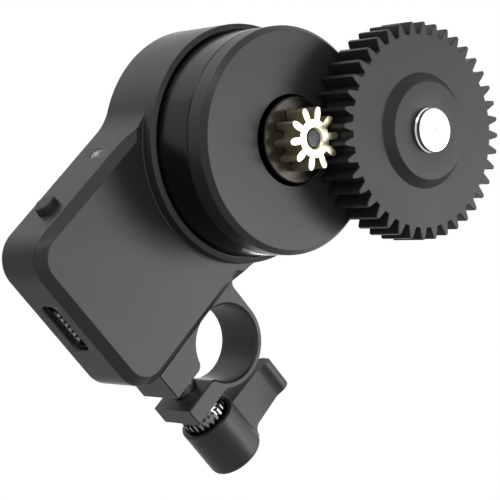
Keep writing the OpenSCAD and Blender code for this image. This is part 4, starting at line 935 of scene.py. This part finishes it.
def gearPiece(name, gear, below, front, above, phase, place, coat):
    half = pi / gear["teeth"]
    flank = [((gear["teeth"] / 2 + over) * module, thick * module)
             for over, thick in gear["flank"]]
    row = toothRow(flank, half, gear["between"])
    angles = [-half + 2 * half * k / (len(row) - 1) for k in range(len(row))]
    return toothedRing(name, gear["teeth"], row, angles, below, gear["back"], front, above,
                       gear["edge"], radians(phase), place, coat)


back, bore = lens["back"], lens["bore"]
front = back + lens["width"]
hubFront = front + lens["hubRise"]
# A gap of the lens gear faces the pinion's tooth
lensPhase = (gearTurn + 180 - (pinion["phase"] - gearTurn) * pinion["teeth"] / lens["teeth"]
             + 180 / lens["teeth"])
lensGear = gearPiece(
    "lensGear", lens, softCorners([(bore, back + 0.6, 0), (bore, back, 0.12),
                                   (lens["root"], back, 0)]), front,
    softCorners([(lens["root"], front, 0), (lens["hubBase"], front, 0.45),
                 (lens["hubTop"], hubFront, 0.35), (bore, hubFront, 0.12),
                 (bore, front + 0.7, 0)], steps=5),
    lensPhase, shiftedTo(*gearCentre), "gear_anodised")
finished(lensGear, "lens_gear", "drive_gear", "gear_anodised")

back, bore = pinion["back"], pinion["bore"]
front = back + pinion["length"]
outputPinion = gearPiece(
    "outputPinion", pinion, [(bore, back + 0.5), (bore, back), (pinion["root"], back)], front,
    [(pinion["root"], front), (1.7, front), (bore, front - 0.36), (bore, front - 0.7)],
    pinion["phase"], Matrix.Identity(4), "pinion_brass")
finished(outputPinion, "gearbox_output", "pinion", "pinion_brass")

axle = {"profile": [
    (0, 19.38, 0), (1.5, 19.38, 0.15), (1.5, capTop, 0.05), (2.5, capTop, 0.05),
    (2.5, 32.09, 0.05), (3.55, 32.09, 0.04), (3.55, 32.2, 0.03), (3.36, 32.42, 0.03),
    (3.36, 33.0, 0.04), (3.27, 33.09, 0.04), (0.32, 33.09, 0.03), (0, 32.8, 0)]}
axleScrew = lathePiece("axleScrew", softCorners(axle["profile"], 4), 96, shiftedTo(*gearCentre))
finished(axleScrew, "swivel_head", "gear_axle", "polished_chrome")

shaft = {"profile": [(0, 16.1, 0), (2.0, 16.1, 0.1), (2.0, 23.79, 0.1), (1.4, 23.79, 0.03),
                     (1.4, 27.2, 0.05), (1.2, 27.49, 0.06), (0, 27.49, 0)]}
outputShaft = lathePiece("outputShaft", softCorners(shaft["profile"]), 64)
# The shaft's steel is darkened as painted shade for its end in the pinion's bore
finished(outputShaft, "gearbox_output", "output_shaft", "steel", "shaftSteelPaintedShade")
print("gears done")

clamp = {"u": 21.2, "v": -22.5, "bore": 6.0, "ring": 7.1, "back": -0.4, "length": 8.9,
         "slot": (20.25, 23.15), "ear": 26.25, "end": -35.2, "blend": 2.0, "slotRound": 1.3,
         "foot": 1.2, "edge": 0.18, "boreEdge": 0.35, "screwV": -30.9, "screwW": 3.4,
         "boltFrom": 16.7, "slotRoom": 0.3, "threadsFrom": 14.5,
         "thread": cylinder(1.05, 0, 2.2)}


def onScrew(u):
    return alongU(u, clamp["screwV"], clamp["screwW"])


def clampOutline():
    # (u, v, edge size), anticlockwise round the metal from the foot of the fixed jaw
    cu, cv, ring, bore = (clamp[key] for key in ("u", "v", "ring", "bore"))
    r, foot, blend = clamp["slotRound"], clamp["foot"], clamp["blend"]
    left, right = clamp["slot"]
    edge, boreEdge = clamp["edge"], clamp["boreEdge"]
    wall = case["halfWidth"]
    bu = clamp["ear"] + blend
    bv = cv - sqrt((ring + blend) ** 2 - (bu - cu) ** 2)
    share = ring / (ring + blend)

    def slotCorner(u):
        # Where the bore runs into the slot over a rounded corner, and its turn there
        v = cv - sqrt((bore + r) ** 2 - (u - cu) ** 2)
        return u, v, degrees(atan2(cv - v, cu - u))

    def edged(points, first=edge, last=edge):
        return [(x, y, first + (last - first) * k / 8) for k, (x, y) in enumerate(points)]

    lipX, lipY, lipTurn = slotCorner(left - r)
    farX, farY, farTurn = slotCorner(right + r)
    startTurn = degrees(atan2(cv + share * (bv - cv) - bv, cu + share * (bu - cu) - bu))
    touch = degrees(atan2(bv - cv, bu - cu))
    outline = edged([(wall, clamp["end"]), (left, clamp["end"])])
    outline += edged(arcPoints(lipX, lipY, r, 0, lipTurn, 8, [8]), edge, boreEdge)
    outline += edged(arcPoints(cu, cv, bore, lipTurn - 180, farTurn - 540, 90),
                     boreEdge, boreEdge)
    # The far corner's first edge size is already a step on the way to the slot's
    outline += edged([(0, 0)] + arcPoints(farX, farY, r, farTurn, 180, 8, [0]),
                     boreEdge, edge)[1:]
    outline += edged([(right, clamp["end"]), (clamp["ear"], clamp["end"]), (clamp["ear"], bv)])
    outline += edged(arcPoints(bu, bv, blend, 180, startTurn, 10, [0]))
    outline += edged(arcPoints(cu, cv, ring, touch, 90, 60, [0]))
    return outline + edged(arcPoints(wall + foot, cv + ring + foot, foot, -90, -180, 8))


def shrunk(outline):
    # Every point moved into the metal by its own edge size
    flat = [Vector(point[:2]) for point in outline]
    corners = zip([flat[-1], *flat], flat, [*flat[1:], flat[0]], outline)
    return [tuple(movedIn(*corner, point[2], 0.5)) for *corner, point in corners]


clampLoop = clampOutline()
clampShrunk = shrunk(clampLoop)
low, high = clamp["back"], clamp["back"] + clamp["length"]
rodClamp = loftPiece("rodClampBlock", [
    raised(clampShrunk, low), [(x, y, low + s) for x, y, s in clampLoop],
    [(x, y, high - s) for x, y, s in clampLoop], raised(clampShrunk, high)], caps=True)
# The bolt's pass, wider beyond the slot's two sides
jawFrom, jawTo = (u - clamp["boltFrom"] for u in (
    clamp["slot"][0] - clamp["slotRoom"], clamp["slot"][1] + clamp["slotRoom"]))
boltProfile = [(0, 0), (2.05, 0), (2.05, jawFrom), (2.35, jawFrom), (2.35, jawTo), (2.12, jawTo),
               (2.12, 9.45), (2.3, 9.6), (2.3, 10.2), (0, 10.2)]
rodClamp = carved(rodClamp, joined("clampCuts", [
    lathePiece("boltHole", boltProfile, 64, onScrew(clamp["boltFrom"])),
    turnedAt("mountThreads", clamp["thread"], 24,
             [alongU(clamp["threadsFrom"], v, w) for v, w in ports["mounts"]])]))
finished(rodClamp, "case", "rod_clamp", "dark_anodised")
print("rod clamp done")

lever = {
    "insertAt": 26.35, "teeth": 24, "teethFrom": 1.5, "teethTo": 4.9, "toothEdge": 0.06,
    "root": 3.3, "tip": 3.72, "play": 0.06,
    "insertBelow": [(2.01, 0.6), (2.01, 0.15), (2.16, 0.0), (3.05, 0.0), (3.2, 0.15), (3.2, 1.5)],
    "insertAbove": [(3.15, 4.9), (3.15, 6.55), (3.0, 6.7), (1.15, 6.7), (1.01, 6.55),
                    (1.01, 4.3), (2.01, 4.3)],
    "hubAt": 29.45, "hubLength": 8.9, "hubRadius": 4.65, "lip": 0.4, "endRound": 1.2,
    "mouthEdge": 3.97, "endHole": 2.88, "mouth": 3.85, "mouthFrom": 0.12,
    "mouthTeeth": (0.42, 1.8),
    "web": [(2.7, 8.72), (2.7, 4.45), (1.3, 4.45), (1.3, 3.65), (3.85, 3.65), (3.85, 1.8)],
    "armEnd": [(0, -1), (4.1, -1), (4.1, 4.6), (3.3, 4.6), (3.3, 9.9), (0, 9.9)],
    "reach": 14.3, "tipRound": 1.45, "armFront": 2.3, "armBack": -1.7,
    # Outline from the front: root, arcs of (u, v, radius, from, to, steps), root
    "armRoot": ([(8.8, 0)], [(0.9, 4.1), (0.9, 0)]),
    "armArcs": ((8.8, 5.6, 1.5, -90, -180, 10), (6.3, 13.6, 0.7, 0, 90, 8),
                (2.0, 13.6, 0.7, 90, 180, 8)),
    "screwSunk": 0.2, "screwFrom": 30.75, "screwSocket": 1.4, "shank": 1.0,
    "screwHead": [(2.15, 0.0), (2.3, 0.12), (2.3, 0.8), (1.0, 0.8)],
}
half = pi / lever["teeth"]
ratchet = [(lever["root"], -half), (lever["root"], -half * 0.45), (lever["tip"], -half * 0.4)]
ratchet += [(r, -a) for r, a in reversed(ratchet)]
# The insert's chrome is darkened as painted shade for its place in the knob's mouth
insertPiece = toothedRing(
    "ratchetInsert", lever["teeth"], ratchet, [a for r, a in ratchet], lever["insertBelow"],
    lever["teethFrom"], lever["teethTo"], lever["insertAbove"], lever["toothEdge"], half,
    onScrew(lever["insertAt"]), "insertChromePaintedShade")
finished(insertPiece, "clamp_bolt", "ratchet_insert", "polished_chrome", "insertChromePaintedShade", angle=28)

headAt = lever["hubAt"] + lever["hubLength"] - lever["screwSunk"]
leverScrew = socketScrew(
    "leverScrew", lever["screwHead"], lever["shank"], headAt - lever["screwFrom"],
    lever["screwSocket"],
    place=Matrix.Translation((headAt, clamp["screwV"], clamp["screwW"]))
    @ Matrix.Rotation(-pi / 2, 4, "Y"))
finished(leverScrew, "clamp_bolt", "lever_screw", "black_steel")

spring = {"turns": 3.0, "radius": 1.85, "wire": 0.16, "lift": 1.8, "steps": 24}
low, high = (c.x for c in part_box("lever_spring"))
springLength = (high - low) * 1000
springPiece = meshPiece("leverSpring", [(0, 0, 0)], [])
grown(springPiece, "spring", Turns=spring["turns"], Coil_radius=spring["radius"],
      Length=springLength - 2 * spring["wire"], Wire_radius=spring["wire"],
      Steps_a_turn=spring["steps"], Material=finishes["steel"])
springPiece.data.transform(onScrew((low - drumAxis[0]) * 1000 + spring["wire"]))
finished(springPiece, "clamp_bolt", "lever_spring", "steel", weighted=False)
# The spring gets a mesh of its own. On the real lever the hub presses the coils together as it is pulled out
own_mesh(springPiece)

# The lever's arm: its outline from the side, cut out of its outline from the front
hubAt, hubLength = lever["hubAt"], lever["hubLength"]
tipV = lever["reach"] - lever["tipRound"]
armSide = [(0, lever["armBack"]), (tipV - 3.2, lever["armBack"]), (tipV - 1.3, -0.9),
           (tipV - 0.5, -0.5)]
armSide += arcPoints(tipV, 0.1 + lever["tipRound"], lever["tipRound"], -75, 120, 24)
armSide += [(tipV - 1.9, lever["armFront"]), (0, lever["armFront"])]
sideTool = loftPiece("armSide", [
    [(u, clamp["screwV"] + v, clamp["screwW"] + w) for v, w in armSide]
    for u in (hubAt - 0.5, hubAt + hubLength + 0.5)], caps=True)
armFace = [*lever["armRoot"][0], *(p for arc in lever["armArcs"] for p in arcPoints(*arc)),
           *lever["armRoot"][1]]
arm = prismPiece("leverArm", [(hubAt + x, clamp["screwV"] + y) for x, y in armFace],
                 clamp["screwW"] - 2.2, clamp["screwW"] + 3.6)
arm = carved(arm, sideTool, "INTERSECT")
# The arm ends inside the hub's wall, so that it never fills the mouth
arm = carved(arm, lathePiece("armEnd", lever["armEnd"], 64, onScrew(hubAt)))

# The hub is a ring: its outside, its end's hole, the web and the toothed mouth
hubAngles = fullTurn(4 * lever["teeth"])
tip, root = lever["tip"] + lever["play"], lever["root"] + lever["play"]
teethRow = [(tip if i % 4 < 2 else root, a) for i, a in enumerate(hubAngles)]
hubOutside = softCorners([
    (lever["mouthEdge"], 0, 0), (lever["hubRadius"], 0, lever["lip"]),
    (lever["hubRadius"], hubLength, lever["endRound"]), (lever["endHole"], hubLength, 0)],
    steps=6)
hubRows = [circle(r, h, hubAngles) for r, h in hubOutside + lever["web"]]
hubRows += [polarRow(teethRow, h) for h in reversed(lever["mouthTeeth"])]
hubRows += [circle(lever["mouth"], h, hubAngles) for h in (
    lever["mouthTeeth"][0], lever["mouthFrom"])]
hub = loftPiece("leverKnob", hubRows, onScrew(hubAt), ring=True)
finished(carved(hub, arm, "UNION"), "clamp_lever", "lever_knob", "dark_anodised")
print("clamp lever done")

lampAim = (-0.01, 0.0, 0.015)
studio = {
    "eye": (-0.14162880, -0.22978625, -0.12298545),
    "turn": (123.19765, -32.60779, -50.28425), "lens": 135.5626, "sensor": 36, "near": 0.005,
    "floor": -0.025, "floorHalf": 1.5, "floorGrey": 0.82, "floorGlow": 0.2, "ambient": 0.16,
    # name, place, size, watts
    "lamps": (("frontSoftbox", (0.38, -0.62, 0.33), 0.32, 2.2),
              ("lowFront", (-0.234, -0.637, -0.174), 0.34, 1.9),
              ("upperRight", (0.5, -0.35, 0.55), 0.4, 1.2),
              ("left", (-0.75, -0.25, 0.0), 0.4, 1.5),
              ("leftBack", (-0.7, 0.25, 0.2), 0.4, 2.2),
              ("rear", (0.3, 0.75, 0.35), 0.5, 2.0)),
}
scene = bpy.context.scene
cameraData = bpy.data.cameras.new("photoCamera")
cameraData.lens = studio["lens"]
cameraData.sensor_width = studio["sensor"]
cameraData.clip_start = studio["near"]
camera = linked("photoCamera", cameraData)
camera.location = studio["eye"]
camera.rotation_euler = [radians(a) for a in studio["turn"]]
scene.camera = camera
for name, place, size, watts in studio["lamps"]:
    light = bpy.data.lights.new(name, "AREA")
    light.size, light.energy = size, watts
    lamp = linked(name, light)
    lamp.location = place
    lamp.rotation_euler = (Vector(lampAim) - Vector(place)).to_track_quat("-Z", "Y").to_euler()


def seenDirectly(tree, rays):
    # One for what the camera, a reflection or a clear piece sees, zero for what lights
    seen = mathNode(tree, "MAXIMUM", rays["Is Camera Ray"], rays["Is Glossy Ray"])
    return mathNode(tree, "MAXIMUM", seen, rays["Is Transmission Ray"])


world = bpy.data.worlds.new("paleStudio")
scene.world = world
sky = emptyTree(world)
level = addNode(sky, "ShaderNodeMapRange", {
    "Value": seenDirectly(sky, addNode(sky, "ShaderNodeLightPath").outputs),
    "To Min": studio["ambient"], "To Max": 1.0})
glow = addNode(sky, "ShaderNodeBackground", {"Color": (1, 1, 1, 1), "Strength": level})
addNode(sky, "ShaderNodeOutputWorld", {"Surface": glow})

# The floor lets the lamps' light through and is clear from below. What the camera and the
# gloss see of it is paler than what lights the object
floorMaterial = bpy.data.materials.new("paleFloor")
tree = emptyTree(floorMaterial)
rays = addNode(tree, "ShaderNodeLightPath").outputs
paper = addNode(tree, "ShaderNodeBsdfDiffuse", {"Color": (*[studio["floorGrey"]] * 3, 1)})
strength = mathNode(tree, "MULTIPLY", seenDirectly(tree, rays), studio["floorGlow"])
pale = addNode(tree, "ShaderNodeEmission", {"Color": (1, 1, 1, 1), "Strength": strength})
top = addNode(tree, "ShaderNodeAddShader", {0: paper, 1: pale})
under = addNode(tree, "ShaderNodeNewGeometry").outputs["Backfacing"]
oneSided = addNode(tree, "ShaderNodeMixShader", {
    0: mathNode(tree, "MAXIMUM", under, rays["Is Shadow Ray"]), 1: top,
    2: addNode(tree, "ShaderNodeBsdfTransparent")})
addNode(tree, "ShaderNodeOutputMaterial", {"Surface": oneSided})
floorMesh = bpy.data.meshes.new("paleFloor")
wide = studio["floorHalf"]
floorMesh.from_pydata(raised([(-wide, -wide), (wide, -wide), (wide, wide), (-wide, wide)],
                             studio["floor"]), [], [(0, 1, 2, 3)])
floorMesh.materials.append(floorMaterial)
floor = linked("paleFloor", floorMesh)
scene.view_settings.view_transform = "Standard"
print("studio done")
